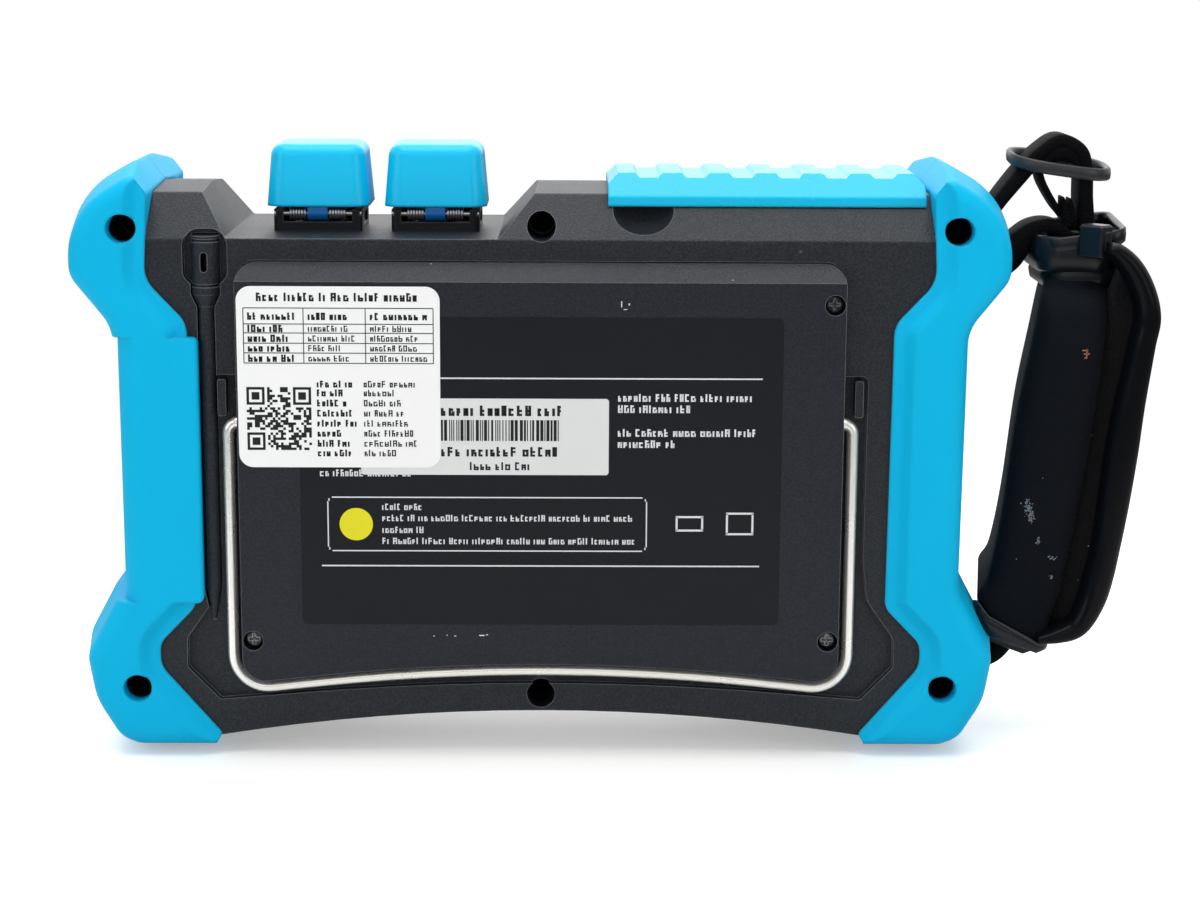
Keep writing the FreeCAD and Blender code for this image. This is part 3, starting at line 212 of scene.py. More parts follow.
def material(name, color, rough, metal=0.0, spec=0.5, grain=0.0, grain_scale=1400.0, rounded=0.0, edge_highlight=None,
             edge_radius=0.0006, edge_gain=4.0, smudge=0.0, tone=0.0, coat=0.0, coat_rough=0.2, weave=0.0,
             pitch=260.0, fuzz=0.0, sheen=0.0, specks=None, speck_share=0.9, speck_scale=160.0,
             grain_deep=0.00005, foot_shade=None, foot_top=0.0, mottle=0.0):
    """A finish with its optional grain, mottle, tone, painted edge highlights, specks, painted shade at the foot,
    smudges and weave.
    """
    made = bpy.data.materials.new(name)
    made.use_nodes = True
    tree = made.node_tree
    tree.nodes.clear()
    shader = add(tree, "ShaderNodeBsdfPrincipled")
    out = add(tree, "ShaderNodeOutputMaterial")
    tree.links.new(shader.outputs["BSDF"], out.inputs["Surface"])
    shader.inputs["Base Color"].default_value = (*color, 1.0)
    shader.inputs["Roughness"].default_value = rough
    shader.inputs["Metallic"].default_value = metal
    shader.inputs["Specular IOR Level"].default_value = spec
    shader.inputs["Coat Weight"].default_value = coat
    shader.inputs["Coat Roughness"].default_value = coat_rough
    shader.inputs["Sheen Weight"].default_value = sheen
    tint = None
    texture = group_node(tree, GRAIN, Scale=grain_scale) if grain or tone or mottle else None
    if tone:
        tint = blend_color(tree, texture.outputs["Tone"], [c * (1 - tone) for c in color],
                           [c * (1 + tone) for c in color])
    if mottle:
        spread = add(tree, "ShaderNodeMapRange")
        spread.inputs["From Min"].default_value = 0.55
        spread.inputs["From Max"].default_value = 1.05
        tree.links.new(texture.outputs["Height"], spread.inputs["Value"])
        tint = blend_color(tree, spread.outputs["Result"], [c * (1 - 0.7 * mottle) for c in color],
                           [c * (1 + 1.3 * mottle) for c in color])
    # painted highlight: the edge colour along outer edges stands in for light caught on rounded edges
    if edge_highlight:
        mask = group_node(tree, EDGE, Radius=edge_radius, Gain=edge_gain)
        tint = blend_color(tree, mask.outputs["Mask"], color, edge_highlight, under=tint)
    if specks:
        dots = group_node(tree, SPECKS, Scale=speck_scale, Share=speck_share)
        tint = blend_color(tree, dots.outputs["Mask"], color, specks, under=tint)
    # painted shade: below foot_top the base colour turns to the darker foot colour
    if foot_shade:
        place = add(tree, "ShaderNodeTexCoord")
        parts = add(tree, "ShaderNodeSeparateXYZ")
        tree.links.new(place.outputs["Object"], parts.inputs[0])
        ramp = add(tree, "ShaderNodeMapRange")
        ramp.inputs["From Min"].default_value = foot_top - 0.8 * MM
        ramp.inputs["From Max"].default_value = foot_top + 0.8 * MM
        tree.links.new(parts.outputs["Z"], ramp.inputs["Value"])
        tint = blend_color(tree, ramp.outputs["Result"], foot_shade, color, over=tint)
    if tint:
        tree.links.new(tint, shader.inputs["Base Color"])
    if smudge:
        marks = group_node(tree, SMUDGE)
        level = math_node(tree, "MULTIPLY_ADD", marks.outputs["Mask"], smudge)
        level.node.inputs[2].default_value = rough
        tree.links.new(level, shader.inputs["Roughness"])
    normal = None
    if rounded:
        bevel = add(tree, "ShaderNodeBevel", samples=6)
        bevel.inputs["Radius"].default_value = rounded
        normal = bevel.outputs["Normal"]
    heights = []
    if grain:
        heights.append((texture.outputs["Height"], grain, grain_deep))
    if weave:
        threads = group_node(tree, WEAVE, Pitch=pitch)
        heights.append((threads.outputs["Height"], weave, 0.0003))
        if fuzz:
            heights.append((threads.outputs["Fuzz"], fuzz, 0.0003))
    for height, strength, distance in heights:
        bump = add(tree, "ShaderNodeBump")
        bump.inputs["Strength"].default_value = strength
        bump.inputs["Distance"].default_value = distance
        tree.links.new(height, bump.inputs["Height"])
        if normal:
            tree.links.new(normal, bump.inputs["Normal"])
        normal = bump.outputs["Normal"]
    if normal:
        tree.links.new(normal, shader.inputs["Normal"])
    return made


GUARD_BLUE = (0.001, 0.45, 0.76)
SHELL = (0.0082, 0.0105, 0.0145)
# painted highlight colour for the edges of the dark plastics
EDGE_HIGHLIGHT = (0.22, 0.225, 0.24)
# height on the caps below which their hinge knuckles take painted shade
CAP_SHADE_TOP = 136.9 * MM - NODES["dust_cap_left"].matrix_world.translation.z
# every edge colour below is a painted highlight along outer edges
M = {
    "guard": material("guard_rubber", GUARD_BLUE, 0.45, spec=0.1, grain=0.2, grain_scale=1500, rounded=0.0013,
                      edge_highlight=(0.02, 0.50, 0.80), edge_radius=0.0014, edge_gain=1.2, smudge=0.12, tone=0.05),
    "lid": material("lid_rubber", (0.0, 0.50, 0.79), 0.25, spec=0.3, grain=0.2, grain_scale=1500, rounded=0.0008,
                    edge_highlight=(0.02, 0.50, 0.80), edge_radius=0.001, edge_gain=1.2, smudge=0.12, tone=0.04),
    # the caps' dark blue below the knuckle line is painted shade
    "cap": material("cap_rubber", (0.0, 0.52, 0.86), 0.25, spec=0.3, grain=0.2, grain_scale=1500, rounded=0.0008,
                    edge_highlight=(0.02, 0.50, 0.80), edge_radius=0.001, edge_gain=1.2, smudge=0.12, tone=0.04,
                    foot_shade=(0.0, 0.10, 0.36), foot_top=CAP_SHADE_TOP),
    "shell": material("shell_plastic", SHELL, 0.44, spec=0.34, mottle=0.9, grain=1.0,
                      grain_scale=2200, grain_deep=0.00012,
                      rounded=0.0003, edge_highlight=EDGE_HIGHLIGHT, edge_radius=0.0003, edge_gain=8.0, smudge=0.06,
                      specks=(0.08, 0.08, 0.09), speck_share=0.97, speck_scale=190.0),
    "cover": material("cover_plastic", (0.0045, 0.0065, 0.012), 0.42, spec=0.37, mottle=0.9, grain=1.0,
                      grain_scale=2200, grain_deep=0.00012, rounded=0.0004, edge_highlight=EDGE_HIGHLIGHT, edge_radius=0.0003,
                      edge_gain=6.0, smudge=0.06,
                      specks=(0.12, 0.12, 0.13), speck_share=0.95, speck_scale=150.0),
    "overlay": material("overlay_film", (0.0075, 0.0085, 0.0115), 0.42, spec=0.2, grain=0.15, grain_scale=900,
                        smudge=0.1, specks=(0.10, 0.11, 0.12), speck_share=0.94, speck_scale=150.0),
    "gasket": material("gasket_rubber", (0.02, 0.02, 0.02), 0.7),
    # the screws' pale edge colour is a painted glint
    "screw": material("screw_black_oxide", (0.03, 0.03, 0.033), 0.25, metal=0.8, rounded=0.0002,
                      edge_highlight=(0.5, 0.5, 0.52), edge_gain=5.0),
    "wire": material("wire_plated", (1.0, 0.98, 0.92), 0.24, metal=0.8, spec=0.5, smudge=0.1),
    # painted shade: the case screws are darkened to the shade of their deep wells
    "screw_in_shade": material("screw_painted_shade", (0.004, 0.004, 0.005), 0.6, spec=0.05),
    "trim": material("trim_plastic", (0.007, 0.008, 0.011), 0.34, spec=0.22, rounded=0.0003,
                     edge_highlight=(0.05, 0.055, 0.06), smudge=0.1),
    "metal": material("metal_nickel", (0.60, 0.58, 0.54), 0.28, metal=1.0, rounded=0.0002, smudge=0.12),
    "spring": material("spring_steel", (0.34, 0.34, 0.35), 0.28, metal=1.0),
    "pack": material("pack_sleeve", (0.03, 0.06, 0.2), 0.4),
    "board": material("board_green", (0.02, 0.13, 0.05), 0.45),
    "glass": material("screen_glass", (0.008, 0.009, 0.011), 0.08, coat=0.4, coat_rough=0.05),
    "lens": material("light_guide", (0.6, 0.66, 0.62), 0.25),
    "label": material("label_paper", (0.70, 0.71, 0.71), 0.5, spec=0.2, smudge=0.1, tone=0.03),
    "sticker": material("sticker_paper", (0.88, 0.885, 0.885), 0.5, spec=0.2, tone=0.02),
    "key": material("key_rubber", (0.045, 0.047, 0.053), 0.55, rounded=0.0004, grain=0.3),
    "white_ink": material("white_ink", (0.70, 0.72, 0.75), 0.5, spec=0.2),
    "yellow_ink": material("yellow_ink", (0.75, 0.70, 0.02), 0.5, spec=0.2),
    "black_ink": material("black_ink", (0.015, 0.015, 0.018), 0.5, spec=0.2),
    "scuff": material("scuff_pale", (0.20, 0.24, 0.28), 0.8, spec=0.1),
    "thread": material("thread_brown", (0.35, 0.13, 0.08), 0.8, spec=0.1),
    "neoprene": material("neoprene_knit", (0.0035, 0.0048, 0.0075), 0.75, spec=0.07, weave=0.4,
                         pitch=420.0, fuzz=0.4,
                         sheen=0.01, tone=0.2, specks=(0.2, 0.2, 0.22), speck_share=0.97, speck_scale=160.0),
    "leather": material("cover_leather", (0.0022, 0.0025, 0.0038), 0.55, spec=0.04, grain=0.5, grain_scale=700,
                        coat=0.13, coat_rough=0.14),
    "web": material("webbing_black", (0.003, 0.003, 0.004), 0.7, spec=0.07, weave=0.38, pitch=300.0, fuzz=0.6,
                    specks=(0.05, 0.05, 0.055), speck_share=0.5, speck_scale=900.0),
    "fleece": material("loop_fleece", (0.003, 0.003, 0.004), 0.9, spec=0.1, weave=0.6, pitch=900.0, fuzz=1.0,
                       sheen=0.06, specks=(0.35, 0.35, 0.35), speck_share=0.78, speck_scale=480.0),
    "tie": material("tie_nylon", (0.005, 0.006, 0.009), 0.24, spec=0.32, rounded=0.0004,
                    edge_highlight=(0.06, 0.065, 0.075), edge_gain=2.2, smudge=0.12),
    "tie_pale": material("tie_nylon_worn", (0.022, 0.023, 0.026), 0.35, spec=0.35, rounded=0.0004,
                         edge_highlight=(0.18, 0.185, 0.19), edge_gain=2.2, smudge=0.12),
}

LOOK = {
    "guard": "guard_left_rear guard_right_rear guard_left_front guard_right_front",
    "lid": "top_port_lid",
    "cap": "dust_cap_left dust_cap_right",
    "shell": "rear_shell front_shell stand_stops stylus",
    "cover": "battery_cover",
    "overlay": "legend_overlay",
    "gasket": "shell_gasket",
    "screw": "battery_cover_screws",
    # the case screws get the painted shade of their wells
    "screw_in_shade": "case_screws",
    "wire": "stand_wire",
    "trim": "port_frame_left port_frame_right dc_jack speaker",
    "metal": "optical_adapter_left optical_adapter_right cap_hinge_pins usb_a_jack lan_jack usb_b_jack "
             "optical_module lcd_module strap_anchor_bars",
    "spring": "cap_springs",
    "pack": "battery_pack",
    "board": "main_board key_board",
    "glass": "touch_glass",
    "lens": "led_light_guides",
    "label": "rating_label",
    "sticker": "calibration_sticker",
    "key": "key_power key_esc key_file key_up key_left key_ok key_right key_down key_auto key_test",
    "neoprene": "strap_pad",
    "leather": "strap_cover",
    "web": "strap_web_upper strap_web_middle strap_web_lower",
    "tie": "strap_ties",
}


def paint(obj, look):
    obj.data.materials.clear()
    obj.data.materials.append(M[look])


for look, names in LOOK.items():
    for name in names.split():
        paint(NODES[name], look)


# ---- mesh helpers ----
def mesh_object(name, points, faces, look, smooth=True, body="case"):
    data = bpy.data.meshes.new(name)
    data.from_pydata([mm(*p) for p in points], [], faces)
    data.validate()
    if smooth:
        data.shade_smooth()
    made = bpy.data.objects.new(name, data)
    bpy.context.scene.collection.objects.link(made)
    paint(made, look)
    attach(made, body)
    return made


def curve_points(points, steps=8):
    """Points of a smooth line through the given ones."""
    made = []
    count = len(points)
    for i in range(count - 1):
        p = [Vector(points[min(max(k, 0), count - 1)]) for k in (i - 1, i, i + 1, i + 2)]
        for k in range(steps):
            t = k / steps
            made.append(0.5 * (2 * p[1] + (p[2] - p[0]) * t + (2 * p[0] - 5 * p[1] + 4 * p[2] - p[3]) * t * t
                               + (3 * p[1] - p[0] - 3 * p[2] + p[3]) * t ** 3))
    made.append(Vector(points[-1]))
    return made


def loft(name, rings, look, smooth=True, body="case"):
    points = [tuple(p) for ring in rings for p in ring]
    width = len(rings[0])
    faces = []
    for i in range(len(rings) - 1):
        for k in range(width):
            j = (k + 1) % width
            faces.append((i * width + k, i * width + j, (i + 1) * width + j, (i + 1) * width + k))
    faces.append(tuple(range(width))[::-1])
    faces.append(tuple((len(rings) - 1) * width + k for k in range(width)))
    return mesh_object(name, points, faces, look, smooth, body)


def rounded_rectangle(half_a, half_b, radius, steps=5):
    made = []
    for quarter, (sa, sb) in enumerate(((1, 1), (-1, 1), (-1, -1), (1, -1))):
        for k in range(steps + 1):
            angle = math.radians(90 * quarter + 90 * k / steps)
            made.append((sa * (half_a - radius) + radius * math.cos(angle),
                         sb * (half_b - radius) + radius * math.sin(angle)))
    return made


def ribbon(name, line, y_low, y_high, look="web", steps=8):
    """A strap seen edge on: it follows (x, thickness, z) points and is wide along Y."""
    path = curve_points(line, steps)
    rings = []
    for i, p in enumerate(path):
        ahead = path[min(i + 1, len(path) - 1)] - path[max(i - 1, 0)]
        side = Vector((-ahead.z, 0.0, ahead.x)).normalized()
        ring = []
        for a, b in rounded_rectangle(p.y / 2, (y_high - y_low) / 2, p.y * 0.3, 2):
            ring.append(Vector((p.x, (y_low + y_high) / 2 + b, p.z)) + side * a)
        rings.append(ring)
    return loft(name, rings, look)


# ---- print on the cover ----
INK = 0.03
FILM_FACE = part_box("legend_overlay")[0].y / MM
LABEL_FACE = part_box("rating_label")[0].y / MM
STICKER_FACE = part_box("calibration_sticker")[0].y / MM
COVER_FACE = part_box("battery_cover")[0].y / MM


class Print:
    """Thin raised bars of one ink on one face, kept as a single mesh."""

    def __init__(self, name, face, look):
        self.name, self.face, self.look = name, face, look
        self.points, self.faces = [], []

    def bar(self, x0, x1, z0, z1):
        start = len(self.points)
        for y in (self.face - INK, self.face + INK / 2):
            self.points += [(x0, y, z0), (x1, y, z0), (x1, y, z1), (x0, y, z1)]
        for quad in ((0, 1, 2, 3), (7, 6, 5, 4), (0, 4, 5, 1), (1, 5, 6, 2), (2, 6, 7, 3), (3, 7, 4, 0)):
            self.faces.append(tuple(start + k for k in quad))

    def rule(self, x0, z0, x1, z1, width):
        if abs(x1 - x0) > abs(z1 - z0):
            self.bar(min(x0, x1), max(x0, x1), z0 - width / 2, z0 + width / 2)
        else:
            self.bar(x0 - width / 2, x0 + width / 2, min(z0, z1), max(z0, z1))

    def words(self, x0, x1, z, height, seed, stroke=0.2, letters=(2, 8)):
        """A row of small stroke marks in place of a line of words."""
        dice = random.Random(seed)
        x, line = x0, height * stroke
        while x < x1 - height * 0.4:
            for _ in range(dice.randint(*letters)):
                wide = height * dice.choice((0.3, 0.48, 0.56, 0.62))
                if x + wide > x1:
                    break
                low = z - height / 2
                high = low + height * dice.choice((0.74, 0.74, 1.0))
                self.bar(x, x + line, low, high)
                if wide > height * 0.4:
                    if dice.random() < 0.6:
                        self.bar(x + wide - line, x + wide, low, low + (high - low) * dice.choice((0.6, 1.0)))
                    for part in dice.sample((0.0, 0.5, 1.0), 2):
                        level = low + (high - low - line) * part
                        self.bar(x + line, x + wide - line * 0.5, level, level + line * 0.9)
                x += wide + height * 0.17
            x += height * 0.42

    def disc(self, x, z, radius, sides=32):
        start = len(self.points)
        for k in range(sides):
            angle = math.tau * k / sides
            self.points.append((x + radius * math.cos(angle), self.face - INK, z + radius * math.sin(angle)))
        self.faces.append(tuple(start + k for k in range(sides)))

    def done(self):
        return mesh_object(self.name, self.points, self.faces, self.look, smooth=False)


def print_film():
    """Frame, rules, word rows and plain frames on the legend film, with one yellow dot."""
    film = Print("film_print_white", FILM_FACE, "white_ink")
    for row, (z, x1) in enumerate(((92.7, 51.7), (89.9, 38.3), (84.0, 54.1), (81.2, 33.3))):
        film.words(18.8, x1, z, 1.9, 20 + row, 0.22)
    film.words(-54.1, -31.6, 73.8, 1.7, 31)
    for z in (97.4, 50.4):
        film.rule(-54.0, z, 54.0, z, 0.35)
    left, right, low, high = -52.3, 26.0, 54.2, 67.7
    for z in (low, high):
        film.rule(left + 1.0, z, right - 1.0, z, 0.3)
    for x, side in ((left, 1), (right, -1)):
        film.rule(x, low + 1.0, x, high - 1.0, 0.3)
        for z, way in ((low, 1), (high, -1)):
            film.rule(x + side * 0.3, z + way * 0.9, x + side * 0.3, z + way * 0.3, 0.3)
    for row, (z, x0, x1) in enumerate(((65.3, -39.0, -28.5), (62.5, -39.0, 22.9), (59.5, -39.0, -28.8),
                                       (56.7, -39.0, 23.7))):
        film.words(x0, x1, z, 1.6, 40 + row)
    middle = 61.2
    for x, high in ((36.6, 3.4), (49.0, 5.2)):
        for z in (middle - high / 2, middle + high / 2):
            film.rule(x - 3.4, z, x + 3.4, z, 0.5)
        for side in (-3.15, 3.15):
            film.rule(x + side, middle - high / 2, x + side, middle + high / 2, 0.5)
    film.done()
    dot = Print("film_print_yellow", FILM_FACE, "yellow_ink")
    dot.disc(-45.4, 60.9, 4.1)
    dot.done()


def scratch_cover():
    """Short pale scratches on the battery cover, as (x, z, width, height)."""
    scratches = Print("cover_scratches", COVER_FACE, "white_ink")
    for x, z, wide, high in ((19.4, 114.9, 0.22, 1.5), (20.0, 114.3, 0.9, 0.2), (21.2, 115.4, 0.3, 0.5),
                             (-15.3, 32.4, 1.3, 0.3), (-13.6, 32.6, 0.5, 0.25), (-21.5, 32.3, 0.5, 0.2),
                             (-23.4, 32.5, 0.3, 0.2), (-26.7, 32.3, 0.4, 0.2)):
        scratches.bar(x, x + wide, z, z + high)
    scratches.done()


def print_label():
    """Word rows and a bar code on the rating label."""
    label = Print("label_print_black", LABEL_FACE, "black_ink")
    left, code_end = -24.4, 4.7
    label.words(left, 6.6, 89.4, 2.6, 50, 0.26)
    dice = random.Random(7)
    x = left
    while x < code_end:
        wide = dice.choice((0.25, 0.25, 0.5, 0.75))
        label.bar(x, min(x + wide, code_end), 81.9, 87.1)
        x += wide + dice.choice((0.25, 0.25, 0.5))
    label.words(left, 6.1, 79.2, 2.4, 51, 0.24)
    label.words(-17.4, -2.4, 75.6, 2.0, 52, 0.22)
    label.done()


def square_code(sticker, left, low, wide, high, cells=25):
    """A square of random cells with three framed corners."""
    dice = random.Random(9)
    cell_w, cell_h = wide / cells, high / cells
    for i in range(cells):
        for k in range(cells):
            a, b = min(i, cells - 1 - i), min(k, cells - 1 - k)
            corner = a < 8 and b < 8 and not (i > cells // 2 and k < cells // 2)
            ring = max(abs(a - 3), abs(b - 3))
            if (ring in (0, 1, 3) if corner and ring < 5 else dice.random() < 0.5):
                sticker.bar(left + i * cell_w, left + (i + 1) * cell_w, low + k * cell_h, low + (k + 1) * cell_h)


def print_sticker():
    """Title, table, square code and two columns of word rows on the calibration sticker."""
    sticker = Print("sticker_print_black", STICKER_FACE, "black_ink")
    sticker.words(-68.8, -29.7, 117.2, 2.1, 60, 0.24)
    left, right, low, high = -72.0, -26.1, 101.0, 114.5
    for z in (high, 110.6, 108.4, 105.9, 103.5, low):
        sticker.rule(left, z, right, z, 0.22)
    for x in (left, -57.5, -42.5, right):
        sticker.rule(x, low, x, high, 0.22)
    for row, z in enumerate((112.5, 109.5, 107.1, 104.7, 102.2)):
        for column, (x0, x1) in enumerate(((-71.0, -58.8), (-56.4, -44.0), (-41.4, -27.4))):
            tall, stroke = (1.8, 0.26) if row == 0 or column == 0 else (1.5, 0.2)
            sticker.words(x0, x1 - (row * 3 + column * 2) % 4, z, tall, 70 + row * 3 + column, stroke)
    square_code(sticker, -71.6, 79.5, 71.6 - 55.9, 95.1 - 79.5)
    for row, z in enumerate((95.9, 93.7, 91.2, 88.7, 86.2, 83.7, 81.2, 78.8)):
        sticker.words(-54.5, -44.6 - (row * 7) % 4, z, 1.7, 90 + row, 0.26)
        sticker.words(-43.1, -30.0 - (row * 5) % 6, z, 1.6, 110 + row)
    sticker.done()


print_film()
scratch_cover()
print_label()
print_sticker()


# ---- hand strap ----
def level_rings(levels, steps=6, slant=0.0):
    """Rounded level sections from (z, x low, x high, y low, y high, corner radius) rows, smoothed between.

    The slant leans the low X side inwards as it goes back along Y.
    """
    rows = curve_points([Vector(r[:3]) for r in levels], steps)
    other = curve_points([Vector(r[3:6]) for r in levels], steps)
    rings = []
    for (z, x0, x1), (y0, y1, radius) in zip(rows, other):
        ring = []
        for a, b in rounded_rectangle((x1 - x0) / 2, (y1 - y0) / 2, radius, 6):
            lean = slant * (b + (y1 - y0) / 2) * (0.5 - a / (x1 - x0))
            ring.append(((x0 + x1) / 2 + a + lean, (y0 + y1) / 2 + b, z))
        rings.append(ring)
    return rings


pad = loft("hand_pad", level_rings([
    (25.0, 124.4, 128.8, -17.0, 4.0, 1.2), (28.5, 119.6, 129.6, -17.6, 12.0, 2.2),
    (33.0, 113.0, 130.6, -18.0, 22.0, 4.0), (38.5, 110.8, 132.2, -18.6, 26.6, 4.0),
    (44.2, 113.4, 133.6, -19.0, 27.0, 5.5), (60.0, 116.1, 136.4, -19.0, 27.0, 6.0),
    (85.0, 118.8, 139.8, -19.0, 27.0, 6.0), (104.0, 122.0, 141.4, -19.0, 27.0, 6.0),
    (114.0, 124.2, 142.0, -16.0, 25.0, 5.0), (118.0, 126.6, 142.4, -8.0, 18.0, 4.0),
    (126.0, 127.2, 143.4, -5.0, 17.0, 4.0), (128.4, 127.4, 143.2, -5.0, 17.0, 4.0)], slant=0.17), "neoprene")
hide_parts("strap_pad")

cover = loft("pad_cover", level_rings([
    (28.5, 129.2, 137.0, -13.0, 26.0, 3.0), (34.0, 130.4, 141.0, -15.5, 28.0, 4.5),
    (44.0, 132.0, 144.0, -15.5, 28.5, 4.5), (60.0, 135.0, 147.4, -15.5, 28.5, 4.5),
    (85.0, 139.2, 150.4, -15.5, 28.5, 4.5), (105.0, 141.2, 153.4, -15.5, 28.5, 4.5),
    (110.0, 141.8, 153.6, -15.5, 28.5, 4.5), (116.0, 143.0, 152.6, -15.0, 28.0, 3.4),
    (122.0, 145.4, 150.4, -14.0, 27.0, 2.2), (126.0, 146.0, 148.2, -12.0, 24.0, 1.0)]), "fleece")
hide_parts("strap_cover")


def roll_of(name, rows, look):
    """A padded roll down the cover's near edge, from (x, radius, z) rows."""
    path = curve_points(rows, 6)
    rings = []
    for i, p in enumerate(path):
        ahead = path[min(i + 1, len(path) - 1)] - path[max(i - 1, 0)]
        side = Vector((ahead.z, 0.0, -ahead.x)).normalized()
        ring = []
        for k in range(20):
            angle = math.tau * k / 20
            ring.append(Vector((p.x, -15.6, p.z)) + side * (p.y * math.cos(angle))
                        + Vector((0.0, 4.9 * math.sin(angle), 0.0)))
        rings.append(ring)
    return loft(name, rings, look)


roll = roll_of("cover_roll", [
    (126.6, 1.6, 27.8), (132.0, 2.7, 28.8), (137.0, 3.3, 31.0), (140.2, 3.8, 37.0), (142.0, 3.9, 43.5),
    (143.6, 3.8, 52.0), (145.0, 4.1, 63.0), (146.4, 4.3, 76.0), (147.7, 4.0, 87.0), (149.0, 3.7, 95.5),
    (150.3, 3.5, 104.0), (151.3, 3.4, 110.3), (150.0, 3.2, 116.6), (146.9, 3.0, 122.6),
    (143.0, 2.4, 126.6), (140.6, 1.5, 127.6)], "leather")
back = loft("cover_back", level_rings([
    (29.0, 136.0, 139.6, -13.0, 27.0, 1.6), (38.0, 141.4, 145.6, -15.0, 29.0, 2.0),
    (60.0, 145.2, 149.0, -15.0, 29.0, 2.0), (85.0, 148.4, 152.0, -15.0, 29.0, 2.0),
    (108.0, 151.6, 154.9, -15.0, 29.0, 1.6), (116.0, 150.4, 153.6, -14.0, 28.0, 1.5),
    (124.0, 147.0, 149.4, -12.0, 25.0, 1.0)]), "leather")

upper = ribbon("web_upper", [(114.6, 3.0, 134.4), (117.2, 3.6, 138.5), (122.5, 4.0, 145.2), (126.4, 3.4, 149.8),
                             (131.4, 3.2, 153.0), (136.4, 3.4, 150.6), (138.0, 3.6, 146.0),
                             (138.4, 3.8, 138.0), (139.2, 4.2, 130.0)], 1.0, 13.0)
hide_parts("strap_web_upper")
hump = ribbon("web_fold", [(127.6, 2.0, 146.8), (129.0, 4.6, 149.2), (131.8, 5.6, 150.2), (135.0, 4.6, 149.0),
                           (136.6, 2.0, 146.8)], 1.4, 12.6)
strip = ribbon("web_strip", [(126.2, 1.6, 147.0), (127.4, 1.6, 142.4), (130.6, 1.5, 136.9), (133.0, 1.5, 134.0),
                             (135.4, 1.6, 131.0)], 3.0, 11.0)
tail = ribbon("web_tail", [(134.2, 3.0, 131.0), (133.6, 2.6, 134.6), (132.6, 0.5, 138.6)], 2.0, 8.0)
tail_end = ribbon("web_tail_end", [(135.4, 1.6, 132.0), (134.9, 1.6, 135.6), (134.6, 0.4, 138.2)], 2.0, 8.0)
middle = ribbon("web_middle", [(115.4, 6.0, 119.5), (119.0, 7.6, 122.8), (122.2, 6.6, 126.6), (125.2, 4.8, 129.8),
                               (129.0, 4.2, 130.9), (132.4, 4.2, 129.8), (134.4, 4.0, 126.8)], 1.0, 13.0)
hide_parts("strap_web_middle")
lower = ribbon("web_lower", [(112.6, 3.0, 16.4), (116.8, 4.4, 16.6), (120.4, 5.0, 19.0), (122.8, 6.0, 24.0),
                             (122.6, 7.0, 31.0)], 1.0, 13.0)
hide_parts("strap_web_lower")


def between(rows, x, place):
    """The value in the given place of (x, …) rows, read straight between the two nearest."""
    for low, high in zip(rows, rows[1:]):
        if x <= high[0] or high is rows[-1]:
            share = min(max((x - low[0]) / (high[0] - low[0]), 0.0), 1.0)
            return low[place] + (high[place] - low[place]) * share


def band(name, x0, x1, y0, y1, z0, z1, radius, tilt=0.0, lean=0.0, thick=1.2, bulge=0.3, look="tie", edges=None):
    """A flat plastic band closed round in the level plane; tilt drops its right end, lean lifts its far side.

    With edges, (x, low z, high z) rows shape its lower and upper edge instead.
    """
    rows = []
    for grow, z in ((-thick, z0 + 0.3), (-0.4, z0), (0.0, z0 + 0.4), (bulge, (z0 + z1) / 2), (0.0, z1 - 0.4),
                    (-0.4, z1), (-thick, z1 - 0.3)):
        loop = rounded_rectangle((x1 - x0) / 2 + grow, (y1 - y0) / 2 + grow, max(radius + grow, 0.3), 8)
        rows.append((loop, z))
    points, faces = [], []
    width = len(rows[0][0])
    for loop, z in rows:
        for a, b in loop:
            x = (x0 + x1) / 2 + a
            if edges:
                low, high = between(edges, x, 1), between(edges, x, 2)
                points.append((x, (y0 + y1) / 2 + b, low + (high - low) * (z - z0) / (z1 - z0)
                               + lean * (b + (y1 - y0) / 2)))
            else:
                points.append((x, (y0 + y1) / 2 + b, z - tilt * a + lean * b))
    for i in range(len(rows)):
        n = (i + 1) % len(rows)
        for k in range(width):
            j = (k + 1) % width
            faces.append((i * width + k, i * width + j, n * width + j, n * width + k))
    return mesh_object(name, points, faces, look)


CUP = [tuple(p) for p in curve_points([
    (110.8, 32.8, 38.8), (112.6, 30.8, 35.9), (114.5, 28.2, 33.4), (116.4, 25.4, 31.4), (119.5, 21.7, 29.2),
    (122.9, 22.3, 27.6), (126.5, 24.0, 26.9), (129.6, 25.2, 27.1)], 4)]
ties = [
    band("collar_lower", 127.0, 146.2, -7.4, 19.0, 116.6, 121.6, 5.6, bulge=0.4),
    band("collar_upper", 125.4, 145.2, -7.8, 19.4, 120.6, 129.6, 5.6, bulge=0.9),
    band("clamp_band", 127.0, 147.4, -8.6, 14.8, 127.6, 131.6, 4.0, tilt=-0.14, lean=0.1, thick=1.3, bulge=0.1),
    band("ring_band", 118.9, 144.9, -3.6, 17.4, 145.1, 148.3, 9.0, tilt=0.14, lean=0.09, thick=1.5, bulge=0.1,
         look="tie_pale"),
    band("bottom_band", 111.2, 129.6, -18.6, 0.0, 26.4, 31.4, 3.0, lean=-0.3, thick=1.0, bulge=0.3, edges=CUP),
    band("bottom_band_over", 111.0, 129.8, -18.9, 0.3, 29.0, 31.6, 3.0, lean=-0.3, thick=1.0, bulge=0.1,
         look="tie_pale",
         edges=[(x, high - 0.9, high + 0.1) for x, low, high in CUP])]
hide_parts("strap_ties")


